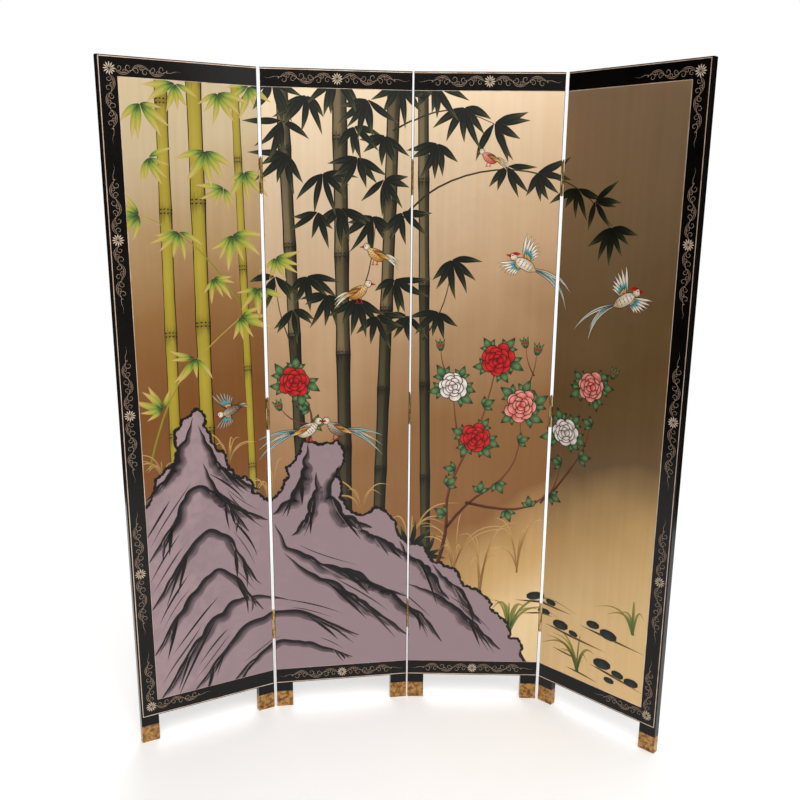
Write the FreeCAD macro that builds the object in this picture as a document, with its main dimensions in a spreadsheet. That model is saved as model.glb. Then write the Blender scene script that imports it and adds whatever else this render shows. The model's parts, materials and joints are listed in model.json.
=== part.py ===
import FreeCAD, Part
import math
import os
import re

import Sketcher
from FreeCAD import Placement, Rotation, Vector

# Driving sizes, in millimetres, with angles in degrees
SIZES = {
    # Panels
    "panel_height": 1830.0,  # floor to the top edge
    "panel_width": 398.0,  # edge to edge of one panel
    "panel_thickness": 20.0,  # front face to back face
    "board_thickness": 3.0,  # plywood skin on each face
    "board_arris": 0.6,  # bevel round the outer face of a skin
    "stile_width": 49.0,  # upright, which is also the leg
    "leg_height": 77.0,  # floor to the lower edge of the skins
    # Rails between the stiles
    "top_rail_height": 48.0,
    "bottom_rail_height": 49.0,
    "cross_rail_height": 40.0,
    "lower_rail_base": 642.0,  # floor to the underside of the lower cross rail
    "upper_rail_base": 1206.0,  # floor to the underside of the upper cross rail
    "tenon_length": 28.0,
    "tenon_thickness": 6.0,
    "tenon_shoulder": 8.0,  # step above and below a tenon
    "tenon_clearance": 0.15,  # glue gap round a tenon
    # Foot caps
    "cap_height": 50.0,
    "cap_wall": 0.8,  # sheet brass, let in flush with the leg
    "cap_floor": 1.0,
    "cap_clearance": 0.05,  # between the cup and the leg in it
    # Hinges
    "panel_gap": 8.0,  # between neighbouring edges when the screen stands straight
    "pivot_proud": 0.8,  # axis in front of, or behind, the face that folds inward
    "hinge_middle": 917.0,  # floor to the centre of the middle hinge
    "hinge_pitch": 644.0,  # centre to centre, up the edge
    "hinge_length": 90.0,
    "leaf_thickness": 1.2,
    "leaf_depth": 12.0,  # across the edge of the stile
    "leaf_setback": 0.9,  # from the face to the leaf
    "barrel_radius": 2.5,
    "knuckle_clearance": 0.3,  # between the ends of neighbouring knuckles
    "pin_radius": 1.2,
    "pin_clearance": 0.08,  # running fit in the knuckles, on the radius
    "pin_tail": 2.0,  # end of the pin below the barrel
    "knob_radius": 2.2,
    "knob_height": 4.0,
    # Standing pose
    "second_panel_angle": 9.0,  # second panel against the row's front
    "left_bend_angle": 20.0,  # first panel toward the front, from straight
    "middle_bend_angle": 10.0,  # third panel toward the front, from straight
    "right_bend_angle": 44.0,  # fourth panel toward the front, from straight
}

HINGES_PER_JOINT = 3

# Rails of a panel: height of the underside, and height of the rail
RAILS = {
    "bottom_rail": ("leg_height", "bottom_rail_height"),
    "lower_rail": ("lower_rail_base", "cross_rail_height"),
    "upper_rail": ("upper_rail_base", "cross_rail_height"),
    "top_rail": ("panel_height - top_rail_height", "top_rail_height"),
}

# Formulas that several pieces share
CAP_SEAT = "cap_wall + cap_clearance"
AXIS_TO_EDGE = "panel_gap / 2"
LEAF_INNER = "panel_gap / 2 - leaf_thickness"
LEAF_NEAR = "pivot_proud + leaf_setback"
LOWEST_HINGE = "-hinge_pitch"
KNUCKLE_LENGTH = "(hinge_length - 2 * knuckle_clearance) / 3"

# Half turns that bring hinge leaves, modelled for a right panel with the
# axis at the front, to the other side or to an axis at the back
HALF_TURNS = {
    ("right", "front"): Rotation(),
    ("left", "front"): Rotation(Vector(0, 1, 0), 180),
    ("right", "back"): Rotation(Vector(1, 0, 0), 180),
    ("left", "back"): Rotation(Vector(0, 0, 1), 180),
}

# Hinged edges: left panel, right panel, face with the axis
JOINTS = {
    "hinge_12": ("panel_1", "panel_2", "front"),
    "hinge_23": ("panel_2", "panel_3", "back"),
    "hinge_34": ("panel_3", "panel_4", "front"),
}

document = FreeCAD.newDocument("folding_screen")


def make_sheet():
    """Write the driving sizes to the sheet, one named cell each."""
    sheet = document.addObject("Spreadsheet::Sheet", "Sizes")
    for row, (name, value) in enumerate(SIZES.items(), start=1):
        sheet.set(f"A{row}", name)
        sheet.set(f"B{row}", str(value))
        sheet.setAlias(f"B{row}", name)
    document.recompute()
    return sheet


sizes = make_sheet()


def bound(formula):
    """Turn a formula of size names into an expression on the sheet."""
    return re.sub(r"[a-z]\w+", r"Sizes.\g<0>", formula)


# Sketches and features

def new_body(label):
    """Start a piece under its own name."""
    body = document.addObject("PartDesign::Body", label)
    body.Label = label
    return body


def origin_feature(body, role):
    """Find an origin plane or axis of a piece by its role."""
    return next(item for item in body.Origin.OriginFeatures if item.Role == role)


def new_sketch(body, plane, up="0", lift="0"):
    """Start a sketch on an origin plane, moved up in the plane and lifted off it."""
    sketch = body.newObject("Sketcher::SketchObject", "Sketch")
    sketch.AttachmentSupport = [(origin_feature(body, plane), "")]
    sketch.MapMode = "FlatFace"
    sketch.setExpression("AttachmentOffset.Base.y", bound(up))
    sketch.setExpression("AttachmentOffset.Base.z", bound(lift))
    return sketch


def fix_point(sketch, geometry, position, formulas):
    """Tie a point of a sketch to its two coordinates."""
    for kind, formula in zip(("DistanceX", "DistanceY"), formulas):
        constraint = Sketcher.Constraint(kind, -1, 1, geometry, position, 1.0)
        index = sketch.addConstraint(constraint)
        sketch.setExpression(f"Constraints[{index}]", bound(formula))


def outline(sketch, corners):
    """Draw a closed outline of straight lines through the given corners."""
    first = sketch.GeometryCount
    count = len(corners)
    turns = [2 * math.pi * step / count for step in range(count)]
    starts = [Vector(math.cos(turn), math.sin(turn), 0) for turn in turns]
    for step in range(count):
        sketch.addGeometry(Part.LineSegment(starts[step], starts[(step + 1) % count]))
    for step in range(count):
        following = first + (step + 1) % count
        sketch.addConstraint(Sketcher.Constraint("Coincident", first + step, 2, following, 1))
    for step, corner in enumerate(corners):
        fix_point(sketch, first + step, 1, corner)


def rectangle(sketch, left, bottom, right, top):
    """Draw a rectangle between two corners."""
    outline(sketch, [(left, bottom), (right, bottom), (right, top), (left, top)])


def circle(sketch, across, up, radius):
    """Draw a circle."""
    index = sketch.addGeometry(Part.Circle(Vector(0, 0, 0), Vector(0, 0, 1), 1.0))
    fix_point(sketch, index, 3, (across, up))
    constraint = sketch.addConstraint(Sketcher.Constraint("Radius", index, 1.0))
    sketch.setExpression(f"Constraints[{constraint}]", bound(radius))


def extrude(body, kind, sketch, length, backwards=False):
    """Add a pad or a pocket of a sketch."""
    feature = body.newObject(f"PartDesign::{kind}", kind)
    feature.Profile = sketch
    feature.setExpression("Length", bound(length))
    feature.Reversed = backwards
    return feature


def revolve(body, sketch, axis):
    """Add a full revolution of a sketch about one of its own axes."""
    feature = body.newObject("PartDesign::Revolution", "Revolution")
    feature.Profile = sketch
    feature.ReferenceAxis = (sketch, [axis])
    feature.Angle = 360


def repeat_up(body, count, pitch):
    """Repeat a whole piece up its height."""
    document.recompute()
    pattern = body.newObject("PartDesign::LinearPattern", "LinearPattern")
    pattern.TransformMode = "Whole shape"
    pattern.Direction = (origin_feature(body, "Z_Axis"), [""])
    pattern.Mode = "Spacing"
    pattern.Occurrences = count
    pattern.setExpression("Offset", bound(pitch))
    body.Tip = pattern


# Panel pieces, each modelled in the frame of a panel: across, front to back, up

def make_stile(label):
    """Upright and leg in one piece, rebated for the skins and for the foot cap."""
    body = new_body(label)
    back_seat = f"panel_thickness - ({CAP_SEAT})"
    side = new_sketch(body, "YZ_Plane")
    outline(side, [
        (CAP_SEAT, "cap_floor"),
        (back_seat, "cap_floor"),
        (back_seat, "cap_height"),
        ("panel_thickness", "cap_height"),
        ("panel_thickness", "leg_height"),
        ("panel_thickness - board_thickness", "leg_height"),
        ("panel_thickness - board_thickness", "panel_height"),
        ("board_thickness", "panel_height"),
        ("board_thickness", "leg_height"),
        ("0", "leg_height"),
        ("0", "cap_height"),
        (CAP_SEAT, "cap_height"),
    ])
    extrude(body, "Pad", side, "stile_width")

    foot = new_sketch(body, "XZ_Plane")
    rectangle(foot, "0", "0", CAP_SEAT, "cap_height")
    rectangle(foot, f"stile_width - ({CAP_SEAT})", "0", "stile_width", "cap_height")
    extrude(body, "Pocket", foot, "panel_thickness")

    mortises = new_sketch(body, "YZ_Plane", lift="stile_width")
    for base, height in RAILS.values():
        rectangle(
            mortises,
            "(panel_thickness - tenon_thickness) / 2 - tenon_clearance",
            f"{base} + tenon_shoulder - tenon_clearance",
            "(panel_thickness + tenon_thickness) / 2 + tenon_clearance",
            f"{base} + {height} - tenon_shoulder + tenon_clearance",
        )
    extrude(body, "Pocket", mortises, "tenon_length + tenon_clearance")
    return body


def make_rail(label, base, height):
    """Rail between the stiles, with a tenon at each end."""
    body = new_body(label)
    between = new_sketch(body, "YZ_Plane", lift="stile_width")
    rectangle(between, "board_thickness", base, "panel_thickness - board_thickness", f"{base} + {height}")
    extrude(body, "Pad", between, "panel_width - 2 * stile_width")

    tenons = new_sketch(body, "YZ_Plane", lift="stile_width - tenon_length")
    rectangle(
        tenons,
        "(panel_thickness - tenon_thickness) / 2",
        f"{base} + tenon_shoulder",
        "(panel_thickness + tenon_thickness) / 2",
        f"{base} + {height} - tenon_shoulder",
    )
    extrude(body, "Pad", tenons, "panel_width - 2 * stile_width + 2 * tenon_length")
    return body


def make_board(label):
    """Plywood skin that covers the frame, with its outer edges bevelled."""
    body = new_body(label)
    face = new_sketch(body, "XZ_Plane")
    rectangle(face, "0", "leg_height", "panel_width", "panel_height")
    sheet = extrude(body, "Pad", face, "board_thickness", backwards=True)
    document.recompute()
    faces = sheet.Shape.Faces
    outer = min(range(len(faces)), key=lambda index: faces[index].CenterOfMass.y)
    bevel = body.newObject("PartDesign::Chamfer", "Chamfer")
    bevel.Base = (sheet, [f"Face{outer + 1}"])
    bevel.setExpression("Size", bound("board_arris"))
    return body


def make_cap(label):
    """Sheet brass cup round the end of a leg."""
    body = new_body(label)
    block = new_sketch(body, "XY_Plane")
    rectangle(block, "0", "0", "stile_width", "panel_thickness")
    extrude(body, "Pad", block, "cap_height")

    inside = new_sketch(body, "XY_Plane", lift="cap_height")
    rectangle(inside, "cap_wall", "cap_wall", "stile_width - cap_wall", "panel_thickness - cap_wall")
    extrude(body, "Pocket", inside, "cap_height - cap_floor")
    return body


# Hinge pieces, each modelled about the axis, from the centre of the middle hinge

def make_leaves(label, knuckle_bases):
    """Leaves of one panel edge, each a plate with its knuckles."""
    body = new_body(label)
    foot = f"{LOWEST_HINGE} - hinge_length / 2"
    plate = new_sketch(body, "XY_Plane", lift=foot)
    rectangle(plate, LEAF_INNER, LEAF_NEAR, AXIS_TO_EDGE, f"{LEAF_NEAR} + leaf_depth")
    extrude(body, "Pad", plate, "hinge_length")

    for base in knuckle_bases:
        level = f"{foot} + {base}"
        web = new_sketch(body, "XY_Plane", lift=level)
        rectangle(web, "0", LEAF_NEAR, LEAF_INNER, f"{LEAF_NEAR} + leaf_thickness")
        extrude(body, "Pad", web, KNUCKLE_LENGTH)
        barrel = new_sketch(body, "XY_Plane", lift=level)
        circle(barrel, "0", "0", "barrel_radius")
        extrude(body, "Pad", barrel, KNUCKLE_LENGTH)

    eye = new_sketch(body, "XY_Plane", lift=f"{foot} + hinge_length")
    circle(eye, "0", "0", "pin_radius + pin_clearance")
    extrude(body, "Pocket", eye, "hinge_length")
    repeat_up(body, HINGES_PER_JOINT, "hinge_pitch")
    return body


def make_pins(label):
    """Loose pins with a knob, which lift out to part two panels."""
    body = new_body(label)
    foot = f"{LOWEST_HINGE} - hinge_length / 2"
    profile = new_sketch(body, "XZ_Plane", up=foot)
    outline(profile, [
        ("0", "-pin_tail"),
        ("pin_radius", "-pin_tail"),
        ("pin_radius", "hinge_length"),
        ("knob_radius", "hinge_length"),
        ("knob_radius", "hinge_length + knob_height"),
        ("0", "hinge_length + knob_height"),
    ])
    revolve(body, profile, "V_Axis")
    repeat_up(body, HINGES_PER_JOINT, "hinge_pitch")
    return body


# Standing pose: each panel is turned about the hinge axis that it shares with its neighbour

def axis_in_panel(side, face):
    """Foot of a hinge axis in the frame of the panel on one side of it."""
    outside = sizes.panel_gap / 2
    across = -outside if side == "right" else sizes.panel_width + outside
    depth = -sizes.pivot_proud if face == "front" else sizes.panel_thickness + sizes.pivot_proud
    return Vector(across, depth, 0)


def about_upright(degrees):
    """Turn about the upright axis."""
    return Rotation(Vector(0, 0, 1), degrees)


def hinged(known, known_side, face, degrees):
    """Place the panel across a hinge from a panel whose place is known."""
    other_side = "left" if known_side == "right" else "right"
    at_axis = Placement(axis_in_panel(known_side, face), about_upright(degrees))
    return known * at_axis * Placement(axis_in_panel(other_side, face), Rotation()).inverse()


def panel_placements():
    """Place the four panels, with the origin under the middle of the whole row."""
    second = Placement(Vector(), about_upright(sizes.second_panel_angle))
    first = hinged(second, "right", "front", sizes.left_bend_angle)
    third = hinged(second, "left", "back", -sizes.middle_bend_angle)
    fourth = hinged(third, "left", "front", -sizes.right_bend_angle)
    panels = {"panel_1": first, "panel_2": second, "panel_3": third, "panel_4": fourth}

    reach = []
    for place in panels.values():
        for across in (0, sizes.panel_width):
            for depth in (0, sizes.panel_thickness):
                reach.append(place.multVec(Vector(across, depth, 0)))
    for left, right, face in JOINTS.values():
        axis = panels[left].multVec(axis_in_panel("left", face))
        for side in (-sizes.barrel_radius, sizes.barrel_radius):
            reach.append(axis + Vector(side, side, 0))
    middle_x = (min(point.x for point in reach) + max(point.x for point in reach)) / 2
    middle_y = (min(point.y for point in reach) + max(point.y for point in reach)) / 2
    to_origin = Placement(Vector(-middle_x, -middle_y, 0), Rotation())
    return {name: to_origin * place for name, place in panels.items()}


# Assembly

def make_panel(name, place):
    """Frame, skins and foot caps of one panel."""
    turned = Placement(Vector(sizes.panel_width, sizes.panel_thickness, 0), about_upright(180))
    pieces = [
        (make_stile(f"{name}_stile_left"), Placement()),
        (make_stile(f"{name}_stile_right"), turned),
        (make_board(f"{name}_front_board"), Placement()),
        (make_board(f"{name}_back_board"), turned),
        (make_cap(f"{name}_cap_left"), Placement()),
        (make_cap(f"{name}_cap_right"), turned),
    ]
    for rail, (base, height) in RAILS.items():
        pieces.append((make_rail(f"{name}_{rail}", base, height), Placement()))
    for body, local in pieces:
        body.Placement = place * local
    return [body for body, local in pieces]


def make_joint(name, left, right, face, panels):
    """Hinges between two panels: leaves on both edges, and the pins."""
    outer_knuckles = ["0", f"hinge_length - {KNUCKLE_LENGTH}"]
    middle_knuckle = [f"(hinge_length - {KNUCKLE_LENGTH}) / 2"]
    lift = Vector(0, 0, sizes.hinge_middle)
    seats = {
        "left": panels[left] * Placement(axis_in_panel("left", face) + lift, Rotation()),
        "right": panels[right] * Placement(axis_in_panel("right", face) + lift, Rotation()),
    }
    bodies = []
    for side, knuckles in (("left", outer_knuckles), ("right", middle_knuckle)):
        leaves = make_leaves(f"{name}_leaves_{side}", knuckles)
        leaves.Placement = seats[side] * Placement(Vector(), HALF_TURNS[side, face])
        bodies.append(leaves)
    pins = make_pins(f"{name}_pins")
    pins.Placement = seats["left"]
    bodies.append(pins)
    return bodies


def check_model(bodies):
    """Stop if a feature failed, cut nothing or left a piece without a valid shape."""
    for item in document.Objects:
        if {"Invalid", "Error"} & set(item.State):
            raise RuntimeError(f"{item.Label} failed")
        if item.TypeId == "PartDesign::Pocket":
            if item.Shape.Volume >= item.BaseFeature.Shape.Volume:
                raise RuntimeError(f"{item.Label} cuts nothing")
    for body in bodies:
        if body.Shape.isNull() or not body.Shape.isValid():
            raise RuntimeError(f"{body.Label} has no valid shape")


def main():
    """Build the screen in its standing pose and write every piece."""
    panels = panel_placements()
    bodies = []
    for name, place in panels.items():
        bodies += make_panel(name, place)
    for name, (left, right, face) in JOINTS.items():
        bodies += make_joint(name, left, right, face, panels)
    document.recompute()
    check_model(bodies)

    os.makedirs("parts", exist_ok=True)
    for body in bodies:
        body.Shape.exportStep(f"parts/{body.Label}.step")


main()
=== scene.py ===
import json
import math
import random

import bpy
from mathutils import Matrix, Vector


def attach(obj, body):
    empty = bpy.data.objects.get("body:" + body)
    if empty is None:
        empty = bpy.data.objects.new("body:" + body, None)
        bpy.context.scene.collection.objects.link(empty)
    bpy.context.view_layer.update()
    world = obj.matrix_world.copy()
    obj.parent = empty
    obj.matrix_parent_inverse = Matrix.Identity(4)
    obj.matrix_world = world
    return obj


bl_info = {
    "name": "Painted folding screen",
    "version": (1, 0, 0),
    "blender": (4, 5, 0),
    "location": "View3D > Sidebar > Screen",
    "description": "Dresses a hinged lacquer screen with its gold ground, borders and painted garden",
    "category": "Object",
}

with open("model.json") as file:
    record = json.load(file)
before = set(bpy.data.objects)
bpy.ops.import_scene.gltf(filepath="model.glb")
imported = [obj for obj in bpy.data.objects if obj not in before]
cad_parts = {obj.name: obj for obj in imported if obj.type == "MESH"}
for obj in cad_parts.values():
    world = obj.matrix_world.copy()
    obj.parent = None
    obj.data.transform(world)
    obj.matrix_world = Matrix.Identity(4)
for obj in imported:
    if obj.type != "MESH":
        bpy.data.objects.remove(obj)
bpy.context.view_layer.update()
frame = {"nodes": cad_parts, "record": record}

MM = 0.001
PANELS = (1, 2, 3, 4)
SEED = 7


# Places and sizes read from the frame

def node_points(name):
    """Corners of a node, each once."""
    return [Vector(place) for place in sorted({vertex.co.to_tuple(6) for vertex in frame["nodes"][name].data.vertices})]


def panel_place(number):
    """Place of a panel: across, front to back and up, from the front corner under its left leg."""
    left = node_points(f"panel_{number}_cap_left")
    right = node_points(f"panel_{number}_cap_right")
    across = sum(right, Vector()) / len(right) - sum(left, Vector()) / len(left)
    across.normalize()
    back = Vector((-across.y, across.x, 0))
    corner = across * min(point.dot(across) for point in left) + back * min(point.dot(back) for point in left)
    return Matrix.Translation(corner) @ Matrix((across, back, (0, 0, 1))).transposed().to_4x4()


PLACES = {number: panel_place(number) for number in PANELS}


def board_span(board, axis):
    """Lowest and highest point of a board of the first panel along one axis of the panel, in millimetres."""
    inverse = PLACES[1].inverted()
    reach = [(inverse @ point)[axis] / MM for point in node_points(f"panel_1_{board}")]
    return round(min(reach), 2), round(max(reach), 2)


PANEL_WIDTH = board_span("front_board", 0)[1]
PANEL_FOOT, PANEL_TOP = board_span("front_board", 2)
PANEL_DEPTH = board_span("back_board", 1)[1]
ROW_WIDTH = PANEL_WIDTH * len(PANELS)


class ScreenSizes(bpy.types.PropertyGroup):
    """Sizes of the borders, the paint and the screws, in metres."""
    side_border: bpy.props.FloatProperty(
        name="Side border", description="Lacquer left of the first picture and right of the last",
        default=49 * MM, unit="LENGTH")
    end_border: bpy.props.FloatProperty(
        name="Top and bottom border", description="Lacquer above and below the pictures",
        default=48 * MM, unit="LENGTH")
    arris: bpy.props.FloatProperty(
        name="Edge kept clear", description="Bare edge of a panel outside its ground and lines",
        default=1.2 * MM, unit="LENGTH")
    ground_coat: bpy.props.FloatProperty(
        name="Ground thickness", description="Gesso and leaf under the picture",
        default=0.15 * MM, unit="LENGTH")
    paint_coat: bpy.props.FloatProperty(
        name="Paint thickness", description="One coat of paint",
        default=0.04 * MM, unit="LENGTH")
    paint_step: bpy.props.FloatProperty(
        name="Paint step", description="How far one brush stroke stands over the one below",
        default=0.012 * MM, unit="LENGTH")
    edge_line: bpy.props.FloatProperty(
        name="Edge line", description="Width of the gilt line along the outer edges",
        default=2.0 * MM, unit="LENGTH")
    picture_line: bpy.props.FloatProperty(
        name="Picture line", description="Width of the gilt line round the picture",
        default=1.8 * MM, unit="LENGTH")
    scroll_line: bpy.props.FloatProperty(
        name="Scroll line", description="Width of a scroll's stem",
        default=0.88 * MM, unit="LENGTH")
    edge_margin: bpy.props.FloatProperty(
        name="Edge margin", description="From the outer side edges to the middle of their gilt line",
        default=5.5 * MM, unit="LENGTH")
    corner_inset: bpy.props.FloatProperty(
        name="Corner flower", description="From the outer edges to the middle of a corner flower",
        default=30 * MM, unit="LENGTH")
    screw_head: bpy.props.FloatProperty(
        name="Screw head", description="Width of a hinge screw's head",
        default=5.8 * MM, unit="LENGTH")


class ScreenColours(bpy.types.PropertyGroup):
    """Colour of the stage."""
    floor: bpy.props.StringProperty(name="Floor", description="Colour of the floor, sRGB hex", default="F4F3F1")


# Materials

# Sockets of a colour Mix node, several of which share one name
MIX_SHARE, MIX_FIRST, MIX_SECOND, MIX_RESULT = 0, 6, 7, 2


def linear(colour):
    """Turn an sRGB hex colour into linear light, with full cover."""
    parts = [int(colour[place:place + 2], 16) / 255 for place in (0, 2, 4)]
    return tuple(part / 12.92 if part <= 0.04045 else ((part + 0.055) / 1.055) ** 2.4 for part in parts) + (1.0,)


def connect(tree, made, inputs):
    """Set a node's inputs to plain values, or link them to sockets or the first output of other nodes."""
    for socket, value in inputs.items():
        if isinstance(value, bpy.types.Node):
            value = value.outputs[0]
        if isinstance(value, bpy.types.NodeSocket):
            tree.links.new(value, made.inputs[socket])
        else:
            made.inputs[socket].default_value = value


def add(tree, kind, inputs=None, stops=None, **settings):
    """Add a shader node with its settings, the stops of a ramp, and its values or links."""
    made = tree.nodes.new(f"ShaderNode{kind}")
    for name, value in settings.items():
        setattr(made, name, value)
    if stops:
        ramp = made.color_ramp.elements
        while len(ramp) < len(stops):
            ramp.new(1.0)
        for element, (position, colour) in zip(ramp, stops):
            element.position = position
            element.color = linear(colour)
    connect(tree, made, inputs or {})
    return made


def new_material(name):
    """Start a material, and return it with its tree, its surface shader and the place on the piece."""
    material = bpy.data.materials.new(name)
    material.use_nodes = True
    tree = material.node_tree
    return material, tree, tree.nodes["Principled BSDF"], add(tree, "TexCoord").outputs["Object"]


# Lacquer rubbed to a mirror: nearly black, with a slow ripple in its reflections and a little dust in the gloss
def black_lacquer():
    material, tree, shader, place = new_material("polished_black_lacquer")
    cloud = add(tree, "TexNoise", {"Vector": place, "Scale": 1 / (60 * MM), "Detail": 3.0})
    tone = add(tree, "ValToRGB", {"Fac": cloud}, [(0.3, "060505"), (0.75, "0E0C0B")])
    dust = add(tree, "TexNoise", {"Vector": place, "Scale": 1 / (9 * MM), "Detail": 4.0})
    gloss = add(tree, "MapRange", {"Value": dust, "To Min": 0.1, "To Max": 0.24})
    ripple = add(tree, "TexNoise", {"Vector": place, "Scale": 1 / (45 * MM), "Detail": 1.0})
    bump = add(tree, "Bump", {"Height": ripple, "Strength": 0.12, "Distance": 1 * MM})
    connect(tree, shader, {"Base Color": tone, "Roughness": gloss, "Normal": bump, "Specular IOR Level": 0.24})
    return material


# Washes of the gold ground, from the foot to the top, each from one panel to the next that is named; airbrushed on the
# screen, with painted reflection in them as well: paler at the top, browner in the middle
GOLD_WASHES_AND_REFLECTIONS = {
    1: [(0.15, "D8A35C"), (0.4, "8A562D"), (0.6, "905C2C"), (0.76, "AE804E"), (0.87, "C9A678"), (1.0, "DAC6A2")],
    2: [(0.03, "F0D4A6"), (0.15, "D2AC72"), (0.27, "926439"), (0.46, "A0754A"), (0.56, "BA926A"), (0.68, "DCB893"),
        (0.96, "EAD4B6")],
    4: [(0.03, "E4C38D"), (0.16, "D0AA6E"), (0.28, "826643"), (0.46, "8F7146"), (0.64, "B79770"), (0.96, "E2B994")],
}


# Gold leaf on gesso under varnish: satin metal, airbrushed from champagne through brown to pale gold near the ground,
# the champagne top and brown middle partly a painted reflection of the room
def gold_ground():
    material, tree, shader, place = new_material("varnished_gold_leaf")
    split = add(tree, "SeparateXYZ", {"Vector": place})
    drift = add(tree, "TexNoise", {"Vector": place, "Scale": 1 / (420 * MM), "Detail": 3.0})
    shift = add(tree, "MapRange", {"Value": drift, "To Min": -0.12, "To Max": 0.12})
    height = add(tree, "MapRange", {
        "Value": split.outputs["Z"], "From Min": PANEL_FOOT * MM, "From Max": PANEL_TOP * MM})
    # The wash slopes: it stands higher on the left of the row than on the right
    lift = add(tree, "MapRange", {
        "Value": split.outputs["X"], "From Min": -0.2, "From Max": 0.7, "To Min": 0.1, "To Max": -0.15})
    tilt = add(tree, "Math", {0: height, 1: lift}, operation="ADD")
    level = add(tree, "Math", {0: tilt, 1: shift}, operation="ADD")
    wash = None
    for number, stops in GOLD_WASHES_AND_REFLECTIONS.items():
        tone = add(tree, "ValToRGB", {"Fac": level}, stops)
        if wash is None:
            wash = tone
            continue
        # Each wash starts in the slot before its panel, 2 mm left of the panel's corner
        beyond = add(tree, "Math", {
            0: split.outputs["X"], 1: PLACES[number].translation.x - 2 * MM}, operation="GREATER_THAN")
        both = add(tree, "Mix", {MIX_SHARE: beyond, MIX_FIRST: wash, MIX_SECOND: tone}, data_type="RGBA")
        wash = both.outputs[MIX_RESULT]
    fleck = add(tree, "TexNoise", {"Vector": place, "Scale": 1 / (14 * MM), "Detail": 5.0})
    # The varnish was brushed up the panel: streaks about 18 mm wide and half a metre long
    brushed = add(tree, "Mapping", {"Vector": place, "Scale": (1 / (18 * MM), 1 / (18 * MM), 1 / (500 * MM))})
    streak = add(tree, "TexNoise", {"Vector": brushed, "Scale": 1.0, "Detail": 2.0})
    tint = add(tree, "ValToRGB", {"Fac": streak}, [(0.32, "FAF8F4"), (0.68, "FFFFFF")])
    colour = add(tree, "Mix", {
        MIX_SHARE: 1.0, MIX_FIRST: wash, MIX_SECOND: tint}, data_type="RGBA", blend_type="MULTIPLY")
    sheen = add(tree, "MapRange", {"Value": fleck, "To Min": 0.36, "To Max": 0.5})
    connect(tree, shader, {
        "Base Color": colour.outputs[MIX_RESULT], "Roughness": sheen,
        "Metallic": 0.8, "Coat Weight": 0.35, "Coat Roughness": 0.18})
    return material


# Shell gold drawn with a ruling pen: cream where it lies thick, flushed with copper where it thins
def gilt_line():
    material, tree, shader, place = new_material("shell_gold_line")
    cloud = add(tree, "TexNoise", {"Vector": place, "Scale": 1 / (40 * MM), "Detail": 3.0})
    tone = add(tree, "ValToRGB", {"Fac": cloud}, [(0.3, "C09A80"), (0.5, "DCC0AA"), (0.7, "E8D8C8")])
    connect(tree, shader, {
        "Base Color": tone, "Metallic": 0.3, "Roughness": 0.38, "Coat Weight": 0.3, "Coat Roughness": 0.15})
    return material


# Gilt sheet brass aged under varnish: gold patches broken by brown and rust-red mottling
def gilt_brass():
    material, tree, shader, place = new_material("mottled_gilt_brass")
    patch = add(tree, "TexNoise", {"Vector": place, "Scale": 1 / (11 * MM), "Detail": 5.0, "Roughness": 0.62})
    tone = add(tree, "ValToRGB", {"Fac": patch}, [
        (0.3, "54301A"), (0.42, "80522A"), (0.52, "AC7E42"), (0.62, "C29C60"), (0.74, "744C28")])
    wear = add(tree, "MapRange", {"Value": patch, "To Min": 0.3, "To Max": 0.55})
    bump = add(tree, "Bump", {"Height": patch, "Strength": 0.25, "Distance": 0.6 * MM})
    connect(tree, shader, {
        "Base Color": tone, "Roughness": wear, "Normal": bump,
        "Metallic": 0.75, "Coat Weight": 0.2, "Coat Roughness": 0.2})
    return material


# Drawn brass, handled for years: bright on the barrels, with a brown film in streaks
def hinge_brass():
    material, tree, shader, place = new_material("handled_brass")
    film = add(tree, "TexNoise", {"Vector": place, "Scale": 1 / (7 * MM), "Detail": 4.0})
    tone = add(tree, "ValToRGB", {"Fac": film}, [(0.32, "8A6A32"), (0.6, "D8B469")])
    rub = add(tree, "MapRange", {"Value": film, "To Min": 0.42, "To Max": 0.2})
    connect(tree, shader, {"Base Color": tone, "Roughness": rub, "Metallic": 1.0})
    return material


# Sawn softwood inside the panel: pale, with darker rings along its length
def sawn_pine():
    material, tree, shader, place = new_material("sawn_pine")
    rings = add(tree, "TexWave", {
        "Vector": place, "Scale": 1 / (30 * MM), "Distortion": 6.0, "Detail": 3.0}, bands_direction="Z")
    tone = add(tree, "ValToRGB", {"Fac": rings.outputs["Fac"]}, [(0.2, "D9B98A"), (0.85, "B98D57")])
    connect(tree, shader, {"Base Color": tone, "Roughness": 0.7})
    return material


# Studio floor: matt pale vinyl with a faint cloud
def pale_floor(colour):
    material, tree, shader, place = new_material("pale_vinyl_floor")
    white = linear("FFFFFF")
    cloud = add(tree, "TexNoise", {"Vector": place, "Scale": 1 / (900 * MM), "Detail": 2.0})
    tone = add(tree, "Mix", {
        MIX_SHARE: cloud, MIX_FIRST: linear(colour), MIX_SECOND: white}, data_type="RGBA")
    connect(tree, shader, {
        "Base Color": tone.outputs[MIX_RESULT], "Roughness": 0.8, "Emission Color": white, "Emission Strength": 0.16})
    return material


def shares(count):
    """Even steps from 0 to 1."""
    return [number / (count - 1) for number in range(count)]


def even(*colours):
    """Stops of a ramp at even steps."""
    return list(zip(shares(len(colours)), colours))


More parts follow.
